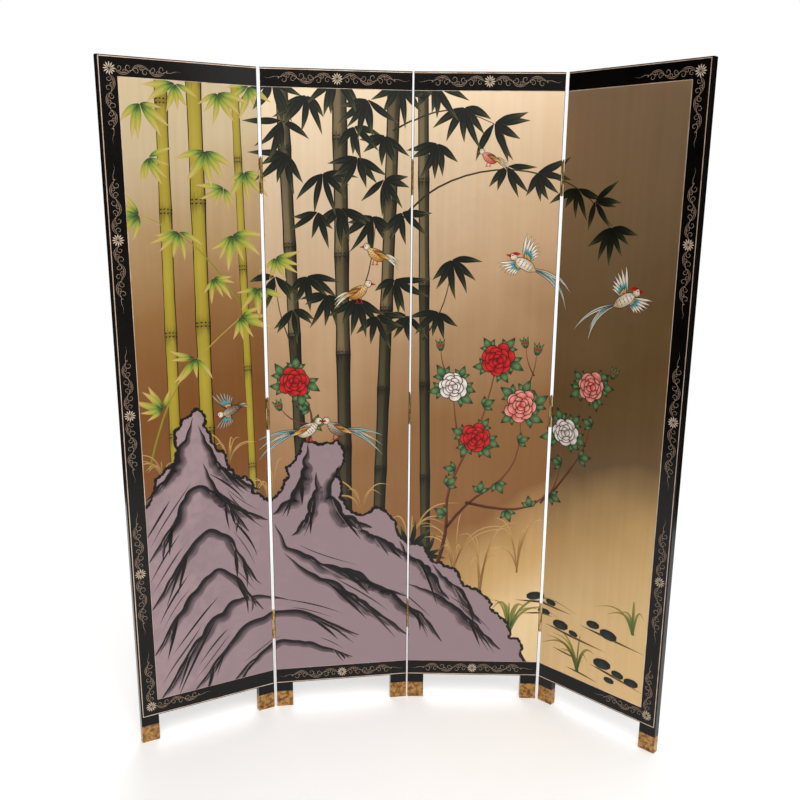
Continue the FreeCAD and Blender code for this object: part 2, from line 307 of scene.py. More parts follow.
# Paints of the picture: colours from the start to the end of a brush stroke, shade from its left edge to its right,
# and how far the bristles drag one colour into the next
PAINTS = {
    # Dulled shell-gold line of the border's scrolls
    "dull_gilt_paint": (even("A68E7A", "CAB49E", "A08670"), even("E8E8E8", "FFFFFF", "D8D8D8"), 0.6),
    # Cream shell gold of the border's flowers
    "cream_gilt_paint": (even("C2AA92", "E0CFB8", "BEA288"), even("E8E8E8", "FFFFFF", "D8D8D8"), 0.6),
    # Copper paint in the leaves of the border's scrolls
    "copper_gilt_paint": (even("40261B", "764A37", "4A2D21"), even("C8C8C8", "FFFFFF", "8C8C8C"), 0.9),
    # Black-green lacquer paint: wet black at the stem, thinning to olive at the tip of a leaf
    "ink_leaf_paint": (
        [(0.0, "0A0D09"), (0.45, "151B12"), (0.75, "2C3120"), (1.0, "5A5836")],
        [(0.0, "A8A8A8"), (0.45, "FFFFFF"), (1.0, "8C8C8C")], 0.5),
    # Thin olive paint that shows as a rim round a dark leaf
    "leaf_rim_paint": (even("2C2E1E", "55553A", "7C7450"), even("FFFFFF", "C0C0C0"), 0.3),
    # Lime lacquer paint: a dark green blot at the stem that runs out to straw yellow
    "lime_leaf_paint": (
        [(0.0, "26361C"), (0.1, "43622C"), (0.24, "86A03E"), (0.5, "B6B04A"), (0.78, "C9B264"), (1.0, "CFB27A")],
        even("ECE8DC", "FFFFFF", "DCD8CC"), 0.34),
    # Thin yellow-green of a young twig
    "lime_twig_paint": (even("8A8A2C", "C2B24A"), even("FFFFFF", "C8C8C8"), 0.2),
    # Olive-black glaze on an old stem near the ground: one lit side, one shaded side, and ink down both edges
    "ink_culm_paint": (
        [(0.0, "2A261A"), (0.04, "4E4830"), (0.5, "48422B"), (0.96, "3E3824"), (1.0, "1E1B12")],
        [(0.0, "1A140E"), (0.07, "2A221A"), (0.1, "E4E4E4"), (0.3, "FFFFFF"), (0.5, "F0F0F0"), (0.62, "A0A0A0"),
         (0.88, "6A6A6A"), (0.92, "2A221A"), (1.0, "1A140E")], 0.12),
    # Olive-yellow glaze on a young stem: thin enough to let the gold through, with a brown edge
    "olive_culm_paint": (
        [(0.0, "86741F"), (0.06, "A89632"), (0.5, "B2A039"), (0.94, "A89936"), (1.0, "7E6E20")],
        [(0.0, "3A2A12"), (0.05, "4A381A"), (0.07, "F2EEDC"), (0.4, "FFFFFF"), (0.72, "F6F2E2"), (0.9, "D2CAA8"),
         (0.94, "4A381A"), (1.0, "3A2A12")], 0.1),
    # Umber glaze higher on an old stem: grey-brown on its lit side, with ink down both edges
    "umber_culm_paint": (
        [(0.0, "4A4230"), (0.04, "7C6C4C"), (0.5, "74654A"), (0.96, "62543A"), (1.0, "3A3424")],
        [(0.0, "1A140E"), (0.07, "2A221A"), (0.1, "E8E8E8"), (0.3, "FFFFFF"), (0.52, "F0F0F0"), (0.64, "A4A4A4"),
         (0.88, "767676"), (0.92, "2A221A"), (1.0, "1A140E")], 0.12),
    # Ink: black with a little brown, for joints, outlines and eyes
    "ink_paint": ([(0.0, "16110D"), (0.6, "0E0B09"), (1.0, "241B14")], even("FFFFFF", "D8D8D8"), 0.3),
    # Olive ink for thin twigs
    "twig_paint": (even("2A2618", "5A5030"), even("FFFFFF", "B8B8B8"), 0.2),
    # Mauve body colour of the rock
    "rock_paint": ([(0.0, "9A8488"), (0.25, "A58D91"), (0.5, "978187")], even("FFFFFF", "FFFFFF"), 0.9),
    # Ink brushed wet on the mauve: hard and black along one edge, washed out into the rock at the other
    "rock_shade_paint": (
        even("FFFFFF", "FFFFFF"), [(0.0, "0E0A0C"), (0.34, "231B1F"), (0.66, "5E4E53"), (0.96, "9A8488")], 0.9),
    # Straw-coloured grass on the gold
    "straw_paint": (even("94693A", "C39A5A", "DABB80"), even("E0E0E0", "FFFFFF"), 0.3),
    # Sage grass by the water
    "sage_paint": (
        [(0.0, "4E7038"), (0.3, "8A8C42"), (0.6, "A8964A"), (1.0, "B89850")], even("D0D0D0", "FFFFFF"), 0.3),
    # Brown bark of a flowering stem
    "bark_paint": (even("5A2A1A", "864A30", "9C6844"), even("FFFFFF", "8A8A8A"), 0.3),
    # Cool green of a flower's leaves, blackened at the stem and at the tip
    "leaf_green_paint": (
        [(0.0, "16261A"), (0.3, "4A7046"), (0.62, "688E58"), (0.82, "3C5C3E"), (1.0, "0C100D")],
        even("C8C8C8", "FFFFFF", "A8A8A8"), 0.35),
    # Vermilion petals, deep at the heart
    "red_petal_paint": (
        [(0.0, "58040A"), (0.35, "A00A14"), (0.75, "C8121C"), (1.0, "DA2A2A")],
        even("E0E0E0", "FFFFFF", "D0D0D0"), 0.2),
    # Coral petals
    "pink_petal_paint": (
        [(0.0, "A22C2C"), (0.35, "D65A50"), (0.75, "E88074"), (1.0, "F2A496")],
        even("E4E4E4", "FFFFFF", "D8D8D8"), 0.2),
    # White petals, grey-mauve at the heart
    "white_petal_paint": (
        [(0.0, "8A686A"), (0.35, "CCB5B0"), (0.75, "EADDD6"), (1.0, "F6EDE6")],
        even("E8E8E8", "FFFFFF", "DCDCDC"), 0.2),
    # Cream feathers with a tan shadow at the root
    "cream_feather_paint": (
        [(0.0, "B99A6E"), (0.3, "E2D2B4"), (0.8, "F3EADA"), (1.0, "D8C3A0")], even("D8D8D8", "FFFFFF", "C8C8C8"), 0.25),
    # Grey-brown feathers
    "dun_feather_paint": (even("4A3A2E", "8E7A66", "C8B8A2"), even("C8C8C8", "FFFFFF", "B0B0B0"), 0.35),
    # Ochre feathers
    "ochre_feather_paint": (even("9A5A1E", "D99A44", "EFCB86"), even("D0D0D0", "FFFFFF", "C0C0C0"), 0.3),
    # Turquoise feathers
    "teal_feather_paint": (even("1E5A66", "3E98A4", "7CC0C4"), even("D0D0D0", "FFFFFF", "B8B8B8"), 0.25),
    # Red of beaks, crests and feet
    "beak_paint": (even("A8141A", "D42C26"), even("FFFFFF", "C0C0C0"), 0.2),
    # Dark green water-worn stones
    "pebble_paint": (even("121A16", "26332C", "121A16"), even("707070", "D8D8D8", "FFFFFF"), 0.5),
    # Pale line drawn round a stone
    "stone_edge_paint": (even("8A7A5C", "CBB890", "94845F"), even("FFFFFF", "E0E0E0"), 0.4),
    # Brown water lines, broken by the bristles
    "water_line_paint": (even("38240F", "6A4822", "A47C44"), even("FFFFFF", "B0B0B0"), 0.5),
}


def brush_paint(name):
    """Mix one paint: it follows each stroke's own length and width, under a gloss varnish."""
    lengthwise, crosswise, drag = PAINTS[name]
    material, tree, shader, place = new_material(name)
    stroke = add(tree, "UVMap", uv_map="UVMap").outputs["UV"]
    # Bristle streaks run along the stroke: eight across a stroke, each a third of its length
    bristles = add(tree, "Mapping", {"Vector": stroke, "Scale": (3.0, 8.0, 1.0)})
    patch = add(tree, "TexNoise", {"Vector": place, "Scale": 1 / (35 * MM), "Detail": 2.0})
    comb = add(tree, "TexNoise", {"Vector": bristles, "W": patch, "Scale": 1.0, "Detail": 3.0}, noise_dimensions="4D")
    pull = add(tree, "MapRange", {
        "Value": comb, "From Min": 0.25, "From Max": 0.75, "To Min": -drag / 2, "To Max": drag / 2})
    split = add(tree, "SeparateXYZ", {"Vector": stroke})
    length = add(tree, "Math", {0: split.outputs["X"], 1: pull}, operation="ADD")
    width = add(tree, "Math", {0: pull, 1: 0.4, 2: split.outputs["Y"]}, operation="MULTIPLY_ADD")
    colour = add(tree, "ValToRGB", {"Fac": length}, lengthwise)
    shade = add(tree, "ValToRGB", {"Fac": width}, crosswise)
    mixed = add(tree, "Mix", {
        MIX_SHARE: 1.0, MIX_FIRST: colour, MIX_SECOND: shade}, data_type="RGBA", blend_type="MULTIPLY")
    gloss = add(tree, "MapRange", {"Value": patch, "To Min": 0.28, "To Max": 0.42})
    connect(tree, shader, {
        "Base Color": mixed.outputs[MIX_RESULT], "Roughness": gloss, "Specular IOR Level": 0.3})
    return material


def paint(name):
    """A paint of the picture, mixed once."""
    return bpy.data.materials.get(name) or brush_paint(name)


# Flat drawing: pictures are drawn over the whole row, in millimetres from the left edge of the first panel and from
# the floor, and each panel then takes the part that falls on it

# Half width of a brush stroke along its length
SHAPES = {
    "line": (1, 1, 1, 1, 1, 1, 1),
    "taper": (1, 0.97, 0.88, 0.74, 0.55, 0.32, 0.04),
    "leaf": (0.08, 0.7, 1, 0.95, 0.72, 0.38, 0.02),
    "daisy": (0.2, 0.42, 0.66, 0.9, 1.06, 0.96, 0.4),
    "blade": (0.55, 0.9, 1, 0.88, 0.64, 0.34, 0.03),
    "petal": (0.4, 0.72, 0.96, 1.12, 1.16, 0.98, 0.42),
    "seed": (0.12, 0.78, 1, 1.04, 1, 0.78, 0.12),
    "oval": (0.36, 0.84, 1, 1.03, 1, 0.84, 0.36),
    "brush": (0.03, 0.55, 0.95, 1, 0.8, 0.45, 0.02),
    "culm": (1.06, 0.97, 0.95, 0.95, 0.95, 0.97, 1.06),
}

# Steps of a ribbon from each of its points to the next
STROKE_STEPS = 3

# Width of the edge that shows round a stroke
EDGES = {"leaf": 0.7, "lobe": 1.0, "petal": 1.9, "cup": 0.7, "sepal": 0.5, "feather": 1.4, "stone": 0.9}


def along(points, share):
    """Point at a share of the way along the curve that a few points pull."""
    points = [Vector(point) for point in points]
    while len(points) > 1:
        points = [first.lerp(second, share) for first, second in zip(points, points[1:])]
    return points[0]


def turned(offset, degrees, centre=(0, 0)):
    """Offset turned about the origin and moved to a centre."""
    return Vector(centre) + Matrix.Rotation(math.radians(degrees), 2) @ Vector(offset)


def ray(centre, heading, *reaches):
    """Points at some reaches from a centre, along one heading."""
    return [turned((reach, 0), heading, centre) for reach in reaches]


def thinning(points, width, loss):
    """Widths of a line that loses a share of its width by its end."""
    last = len(points) - 1
    return [width * (1 - loss * step / last) for step in range(last + 1)]


class Picture:
    """Brush strokes and filled shapes of one motif, each with its paint and its level over the ground."""

    def __init__(self):
        self.strokes = []
        self.fills = []

    def stroke(self, colour, points, width, shape, level):
        """One pull of the brush along a curve."""
        spine = [along(points, share) for share in shares(len(SHAPES[shape]))]
        self.strokes.append((colour, spine, [width / 2 * part for part in SHAPES[shape]], level))

    def trail(self, colour, points, widths, level):
        """A long line that follows its points, with a width at each."""
        self.strokes.append((colour, [Vector(point) for point in points], [width / 2 for width in widths], level))

    def fill(self, colour, outline, level):
        """A flat shape inside an outline."""
        self.fills.append((colour, [Vector(point) for point in outline], level))

    def edged(self, colour, edge, points, width, shape, level, rim):
        """One pull of the brush over a wider one that shows round it as an outline."""
        start, end = Vector(points[0]), Vector(points[-1])
        reach = (end - start).normalized() * rim
        self.stroke(edge, [start - reach * 0.5, *points[1:-1], end + reach], width + 2 * rim, shape, level)
        self.stroke(colour, points, width, shape, level + 1)

    def feather(self, colour, points, width, shape, level):
        """A feather or a part of a bird's body, with an ink edge."""
        self.edged(colour, "ink_paint", points, width, shape, level, EDGES["feather"])


def take(*pieces):
    """Select some pieces only, with the first one active."""
    bpy.ops.object.select_all(action="DESELECT")
    for piece in pieces:
        piece.select_set(True)
    bpy.context.view_layer.objects.active = pieces[0]


def apply_modifier(piece, name, kind, **settings):
    """Give a piece a modifier with its settings, and apply it."""
    modifier = piece.modifiers.new(name, kind)
    for setting, value in settings.items():
        setattr(modifier, setting, value)
    take(piece)
    bpy.ops.object.modifier_apply(modifier=modifier.name)


def settle(piece):
    """Bake a piece's place, turn and scale into its mesh."""
    take(piece)
    bpy.ops.object.transform_apply(location=True, rotation=True, scale=True)


def drawn_curve(name, colour, dimensions):
    """Start a curve object that draws in one paint."""
    curve = bpy.data.curves.new(name, "CURVE")
    curve.dimensions = dimensions
    curve.materials.append(paint(colour))
    piece = bpy.data.objects.new(name, curve)
    bpy.context.scene.collection.objects.link(piece)
    return piece, curve


def draw_strokes(colour, strokes, height, step):
    """Draw strokes as flat ribbons, each at its level."""
    piece, curve = drawn_curve("strokes", colour, "3D")
    curve.twist_mode = "Z_UP"
    curve.resolution_u = STROKE_STEPS
    curve.extrude = 1.0
    for _, spine, halves, level in strokes:
        spline = curve.splines.new("NURBS")
        spline.points.add(len(spine) - 1)
        for point, place, half in zip(spline.points, spine, halves):
            point.co = (place.x * MM, place.y * MM, height + level * step, 1.0)
            point.radius = half * MM
            # A quarter turn lays the ribbon flat
            point.tilt = math.pi / 2
        spline.order_u = 3
        spline.use_endpoint_u = True
    take(piece)
    bpy.ops.object.convert(target="MESH")
    return bpy.context.object


def draw_fill(colour, outline, level, height, step):
    """Draw a flat filled shape at its level."""
    piece, curve = drawn_curve("fill", colour, "2D")
    curve.fill_mode = "BOTH"
    spline = curve.splines.new("POLY")
    spline.points.add(len(outline) - 1)
    for point, place in zip(spline.points, outline):
        point.co = (place.x * MM, place.y * MM, 0.0, 1.0)
    spline.use_cyclic_u = True
    piece.location.z = height + level * step
    take(piece)
    bpy.ops.object.convert(target="MESH")
    settle(bpy.context.object)
    return bpy.context.object


def touches(points, margin, window):
    """True if a shape may reach into a window."""
    left, bottom, right, top = window
    across = [point.x for point in points]
    up = [point.y for point in points]
    return (max(across) + margin > left and min(across) - margin < right
            and max(up) + margin > bottom and min(up) - margin < top)


def trim(piece, window):
    """Cut a flat drawing off outside a window."""
    left, bottom, right, top = [edge * MM for edge in window]
    take(piece)
    bpy.ops.object.mode_set(mode="EDIT")
    for place, outward in (
            ((left, 0, 0), (-1, 0, 0)), ((right, 0, 0), (1, 0, 0)),
            ((0, bottom, 0), (0, -1, 0)), ((0, top, 0), (0, 1, 0))):
        bpy.ops.mesh.select_all(action="SELECT")
        bpy.ops.mesh.bisect(plane_co=place, plane_no=outward, clear_outer=True)
    bpy.ops.object.mode_set(mode="OBJECT")


def hang_on_panel(piece, number):
    """Stand a flat drawing up on the front of its panel and let it ride there."""
    to_left_edge = Matrix.Translation((-(number - 1) * PANEL_WIDTH * MM, 0, 0))
    piece.matrix_world = PLACES[number] @ Matrix.Rotation(math.pi / 2, 4, "X") @ to_left_edge
    settle(piece)
    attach(piece, f"panel_{number}")


def pick_faces(piece, test):
    """Open a piece in edit mode with the faces that pass a test selected."""
    take(piece)
    bpy.ops.object.mode_set(mode="EDIT")
    bpy.ops.mesh.select_mode(type="FACE")
    bpy.ops.mesh.select_all(action="DESELECT")
    bpy.ops.object.mode_set(mode="OBJECT")
    for polygon in piece.data.polygons:
        polygon.select = test(polygon)
    bpy.ops.object.mode_set(mode="EDIT")


def give_body(piece, surface, sizes):
    """Turn a flat drawing into coats of paint that reach down to the surface below."""
    pick_faces(piece, lambda polygon: polygon.normal.z < 0)
    bpy.ops.mesh.flip_normals()
    bpy.ops.object.mode_set(mode="OBJECT")
    apply_modifier(piece, "Coat", "SOLIDIFY", thickness=sizes.paint_coat, offset=-1.0)
    bpy.ops.object.shade_flat()
    pick_faces(piece, lambda polygon: polygon.normal.z < -0.5)
    bpy.ops.transform.resize(value=(1, 1, 0), center_override=(0, 0, surface))
    bpy.ops.object.mode_set(mode="OBJECT")


def face_windows(sizes, side, end):
    """Window of each panel inside its bare edges and the row's side and end borders, in the drawing's millimetres."""
    windows = {}
    for number in PANELS:
        left = (number - 1) * PANEL_WIDTH + (side if number == PANELS[0] else sizes.arris) / MM
        right = number * PANEL_WIDTH - (side if number == PANELS[-1] else sizes.arris) / MM
        windows[number] = (left, PANEL_FOOT + end / MM, right, PANEL_TOP - end / MM)
    return windows


def picture_windows(sizes):
    """Painted window of each panel."""
    return face_windows(sizes, sizes.side_border, sizes.end_border)


def lay(picture, name, sizes, on_gold=True):
    """Lay a picture on the panels that it reaches, on their gold grounds or on their whole lacquered faces."""
    surface = sizes.ground_coat if on_gold else 0.0
    height = surface + sizes.paint_coat
    windows = picture_windows(sizes) if on_gold else face_windows(sizes, sizes.arris, sizes.arris)
    for number, window in windows.items():
        coats = []
        for colour in dict.fromkeys(item[0] for item in picture.fills + picture.strokes):
            for _, outline, level in [fill for fill in picture.fills if fill[0] == colour]:
                if touches(outline, 0, window):
                    coats.append(draw_fill(colour, outline, level, height, sizes.paint_step))
            strokes = [item for item in picture.strokes
                       if item[0] == colour and touches(item[1], max(item[2]), window)]
            if strokes:
                coats.append(draw_strokes(colour, strokes, height, sizes.paint_step))
        if not coats:
            continue
        take(*coats)
        if len(coats) > 1:
            bpy.ops.object.join()
        piece = bpy.context.object
        piece.name = f"panel_{number}_{name}"
        trim(piece, window)
        if not piece.data.polygons:
            bpy.data.objects.remove(piece)
            continue
        give_body(piece, surface, sizes)
        hang_on_panel(piece, number)


# Motifs of the borders, all in gilt and copper

# Radius and petals of a flower, steps and turn in degrees of a curl, waves of a scroll, steps and swing of its tail
FLOWER_RADIUS = 14.8
FLOWER_PETALS = 12
CURL_STEPS = 10
CURL_TURN = 380
SCROLL_WAVES = 3
TAIL_STEPS = 6
TAIL_SWING = 2.6


def rosette(picture, centre):
    """A flower of narrow petals that stand apart."""
    for number in range(FLOWER_PETALS):
        ends = ray(centre, number * 360 / FLOWER_PETALS, FLOWER_RADIUS * 0.16, FLOWER_RADIUS)
        picture.stroke("cream_gilt_paint", ends, FLOWER_RADIUS * 0.2, "daisy", 2)


def hook(picture, root, heading, size, side, width):
    """A fine line that runs out and rolls in on itself."""
    hub = turned((size * 0.6, side * size * 0.4), heading, root)
    steps = range(CURL_STEPS + 1)
    points = [turned((root - hub) * (1 - 0.74 * step / CURL_STEPS), side * CURL_TURN * step / CURL_STEPS, hub)
              for step in steps]
    picture.trail("dull_gilt_paint", points, [width * (1.05 - 0.04 * step) for step in steps], 1)


def scroll_unit(picture, start, heading, length, side, width):
    """One wave of a scroll: a copper leaf between two fine lines, with curls on its hollow side."""
    rise = length * 0.25 * side

    def places(*pairs):
        return [turned((run * length, height * rise), heading, start) for run, height in pairs]

    leaf = places((0.02, 0.1), (0.3, 1.12), (0.62, 1.06), (0.9, 0.2))
    back = places((0, 0), (0.1, 0.75), (0.34, 1.2), (0.66, 1.1), (0.9, 0.45), (1.04, -0.1))
    front = places((0.04, 0.05), (0.24, 0.66), (0.5, 0.84), (0.76, 0.6), (0.92, 0.1))
    end, root, hollow, tip = places((0.97, 0.1), (0.06, 0.15), (0.5, 0.8), (1.02, 0))
    picture.stroke("copper_gilt_paint", leaf, length * 0.08, "brush", 0)
    picture.trail("dull_gilt_paint", back, [width * (0.7 + 0.2 * math.sin(step)) for step in range(len(back))], 1)
    picture.trail("dull_gilt_paint", front, [width * (0.7 - 0.08 * step) for step in range(len(front))], 1)
    hook(picture, end, heading + 180, length * 0.33, side, width)
    hook(picture, root, heading, length * 0.27, -side, width * 0.9)
    hook(picture, hollow, heading - side * 100, length * 0.17, side, width * 0.8)
    for lean in (-38, 38):
        picture.stroke("dull_gilt_paint", [tip, *ray(tip, heading + lean, length * 0.13)], width * 1.3, "leaf", 2)


def scroll_arm(picture, centre, heading, reach, width, side):
    """Waves that run out of a flower, each to the other side of the last, and a thin tail."""
    start = reach * 0.08
    length = reach * 0.7 / SCROLL_WAVES
    for wave in range(SCROLL_WAVES):
        root = turned((start + wave * length, 0), heading, centre)
        scroll_unit(picture, root, heading, length, side if wave % 2 == 0 else -side, width)
    foot = start + SCROLL_WAVES * length
    tail = []
    for step in range(TAIL_STEPS + 1):
        swing = TAIL_SWING * side * math.sin(2 * math.pi * step / TAIL_STEPS)
        tail.append(turned((foot + (reach - foot) * step / TAIL_STEPS, swing), heading, centre))
    picture.trail("dull_gilt_paint", tail, [width * (0.9 - 0.12 * step) for step in range(len(tail))], 1)


# Motifs of the picture

# Height where an old stem turns umber, dashes of a joint's ring and their width, widths of the blades of grass,
# how often and how far an outline breaks into crags, and steps along a fold of the rock
UMBER_HEIGHT = 1040
RING_DASHES = 4
RING_WIDTH = 3.6
BLADE_WIDTHS = {"straw_paint": 4.0, "sage_paint": 7.5}
CRAG_ROUNDS = 4
CRAG_ROUGHNESS = 0.22
FOLD_STEPS = 24


def bamboo_stem(picture, style, foot, head, width, spacing, rng, level):
    """A stem of joints, each a pull of the brush, with its rings marked in ink."""
    foot, head = Vector(foot), Vector(head)
    whole = (head - foot).length
    heading = math.degrees(math.atan2(head.y - foot.y, head.x - foot.x))
    cuts = [0.0]
    while cuts[-1] < whole:
        cuts.append(cuts[-1] + spacing * rng.uniform(0.86, 1.14))
    for low, high in zip(cuts, cuts[1:]):
        ends = ray(foot, heading, low, high)
        glaze = "umber" if style == "ink" and ends[0].y > UMBER_HEIGHT else style
        picture.stroke(f"{glaze}_culm_paint", ends, width, "culm", level)
        for offset, bow in ((-4.5, 3.0), (4.5, 5.0)):
            ring = [turned((high + offset + rise, width * side), heading, foot)
                    for rise, side in ((0, -0.56), (bow, 0), (0, 0.56))]
            for dash in range(RING_DASHES):
                start = (dash + 0.1 * rng.random()) / RING_DASHES
                ends = [along(ring, start), along(ring, (dash + 0.66) / RING_DASHES)]
                picture.stroke("ink_paint", ends, RING_WIDTH, "seed", level + 2)


def leaf_spray(picture, colour, rim, spread, centre, heading, count, length, rng, level):
    """Leaves that fan out from one point of a twig, slimmer where each has a rim."""
    for number, share in enumerate(shares(count)):
        angle = heading + 2 * spread * (share - 0.5) + rng.uniform(-12, 12)
        reach = length * rng.uniform(0.7, 1.1) * (1 - 0.3 * abs(share - 0.5))
        droop = rng.uniform(-0.12, 0.12) * reach
        points = [turned(offset, angle, centre) for offset in ((3, 0), (reach * 0.5, droop), (reach, 0))]
        if rim:
            width = length * rng.uniform(0.15, 0.2)
            picture.edged(colour, rim, points, width, "leaf", level + 2 * (number % 4), EDGES["leaf"])
        else:
            picture.stroke(colour, points, reach * rng.uniform(0.19, 0.25), "leaf", level + number % 6)


def grass(picture, colour, root, count, height, lean, rng, level):
    """A tuft of blades that bend over at their tips."""
    for number in range(count):
        side = rng.uniform(-1, 1) + lean
        reach = height * rng.uniform(0.55, 1.0)
        start = Vector(root) + Vector((rng.uniform(-4, 4), 0))
        tip = start + Vector((side * reach * 0.95, reach * rng.uniform(0.3, 0.95)))
        picture.stroke(colour, [start, start + Vector((side * reach * 0.18, reach * 0.95)), tip],
                       BLADE_WIDTHS[colour] * rng.uniform(0.7, 1.3), "blade", level + number % 3)


def flower_leaf(picture, root, heading, size, level):
    """A leaf of three lobes, each with an ink edge."""
    for order, (lean, part) in enumerate(((-50, 0.78), (50, 0.78), (0, 1.0))):
        points = [*ray(root, heading, size * 0.05), *ray(root, heading + lean * 0.8, size * part * 0.5),
                  *ray(root, heading + lean, size * part)]
        picture.edged("leaf_green_paint", "ink_paint", points, size * 0.5 * part, "leaf", level + order // 2 * 2,
                      EDGES["lobe"])


def peony(picture, colour, centre, radius, rng, level):
    """A full flower: rings of petals with inked edges round a folded heart, and leaves behind it."""
    for number in range(5):
        heading = number * 72 + rng.uniform(-24, 24)
        flower_leaf(picture, turned((radius * 0.74, 0), heading, centre), heading + rng.uniform(-34, 34),
                    radius * rng.uniform(0.86, 1.16), level)
    start = rng.uniform(0, 60)
    for ring, (count, inner, outer, width) in enumerate((
            (7, 0.3, 1.0, 0.66), (6, 0.16, 0.76, 0.56), (5, 0.06, 0.52, 0.44), (3, -0.06, 0.3, 0.34))):
        for number in range(count):
            heading = start + number * 360 / count + ring * 31 + rng.uniform(-10, 10)
            ends = ray(centre, heading, inner * radius, outer * radius * rng.uniform(0.9, 1.08))
            picture.edged(f"{colour}_petal_paint", "ink_paint", ends, width * radius * rng.uniform(0.9, 1.1), "petal",
                          level + 7 + ring * 6 + 2 * (number % 3), EDGES["petal"])


def bud(picture, centre, heading, size, level):
    """A closed bud: a green cup with pointed sepals, and red petals that show between them."""
    cup = [Vector(centre), *ray(centre, heading, size * 0.82)]
    picture.edged("leaf_green_paint", "ink_paint", cup, size * 0.6, "petal", level, EDGES["cup"])
    for lean in (-17, 0, 17):
        ends = [*ray(centre, heading + lean, size * 0.4), *ray(centre, heading + lean * 1.3, size * 1.12)]
        picture.edged("leaf_green_paint", "ink_paint", ends, size * 0.2, "leaf", level + 2, EDGES["sepal"])
    for lean in (-12, 12):
        ends = ray(centre, heading + lean, size * 0.34, size * 0.66)
        picture.stroke("beak_paint", ends, size * 0.15, "oval", level + 5)


def wing(picture, colour, shoulder, heading, length, sweep, level):
    """A spread wing: long feathers in a fan, a turquoise band over them, and short feathers over their roots."""
    for number, share in enumerate(shares(7)):
        angle = heading + sweep * share
        reach = length * (1 - 0.45 * share)
        points = [Vector(shoulder), *ray(shoulder, angle - sweep * 0.12, reach * 0.6), *ray(shoulder, angle, reach)]
        picture.feather(colour, points, length * 0.13, "blade", level + 2 * (number % 3))
    for share in shares(6):
        points = ray(shoulder, heading + sweep * share * 0.85, length * 0.1, length * (0.54 - 0.16 * share))
        picture.stroke("teal_feather_paint", points, length * 0.1, "leaf", level + 7)
    for share in shares(5):
        points = [Vector(shoulder), *ray(shoulder, heading + sweep * share * 0.9, length * (0.32 - 0.08 * share))]
        picture.feather("ochre_feather_paint", points, length * 0.08, "leaf", level + 8)


def body_feathers(picture, ends, width, level):
    """Rows of small feathers over a bird's body."""
    run = Vector(ends[-1]) - Vector(ends[0])
    across = Vector((-run.y, run.x)).normalized() * width / 2
    for row in range(5):
        middle = along(ends, 0.2 + 0.15 * row)
        for side in (-0.6, 0.0, 0.6) if row % 2 else (-0.3, 0.3):
            root = middle + across * side
            points = [root + across * 0.22, root - run * 0.06, root - across * 0.22]
            picture.stroke("dun_feather_paint", points, width * 0.09, "line", level)


def bird_head(picture, centre, heading, size, level, crest):
    """A round head with its beak and eye, and with a crest on some birds."""
    up = 1 if math.cos(math.radians(heading)) > 0 else -1

    def places(*pairs):
        return [turned((size * forward, up * size * height), heading, centre) for forward, height in pairs]

    picture.feather("cream_feather_paint", places((-0.5, 0), (0.5, 0)), size * 0.85, "seed", level)
    picture.stroke("beak_paint", places((0.35, -0.05), (1.05, -0.16)), size * 0.34, "taper", level + 2)
    if crest:
        picture.stroke("beak_paint", places((0.35, 0.3), (-0.7, 0.62)), size * 0.42, "brush", level + 2)
    picture.stroke("ink_paint", places((0.1, 0.08), (0.28, 0.08)), size * 0.18, "seed", level + 3)


def flying_bird(picture, centre, heading, size, body, long_tail, side, level):
    """A bird on the wing, with streaming tail feathers on some."""
    for number, lean in enumerate((-8, 9, 1)):
        reach = size * (2.2 if long_tail else 0.8) * (1 - 0.12 * number)
        points = [turned((-size * 0.3, 0), heading, centre),
                  turned((-reach * 0.6, side * reach * 0.14), heading + lean * 0.4, centre),
                  turned((-reach, -side * reach * 0.16), heading + lean, centre)]
        picture.feather(body, points, size * 0.13 if long_tail else size * 0.2, "blade", level + number % 2)
        if long_tail:
            picture.stroke("teal_feather_paint", points, size * 0.035, "blade", level + 3)
    raised = turned((size * 0.1, size * 0.08 * side), heading, centre)
    lowered = turned((size * 0.16, -size * 0.04 * side), heading, centre)
    wing(picture, body, raised, heading + side * 62, size * 1.05, side * 62, level + 3)
    wing(picture, body, lowered, heading - side * 28, size * 0.92, -side * 58, level + 3)
    ends = ray(centre, heading, -size * 0.42, size * 0.5)
    picture.feather(body, ends, size * 0.36, "seed", level + 12)
    body_feathers(picture, ends, size * 0.3, level + 14)
    head = turned((size * 0.56, side * size * 0.04), heading, centre)
    bird_head(picture, head, heading - side * 8, size * 0.3, level + 14, long_tail)


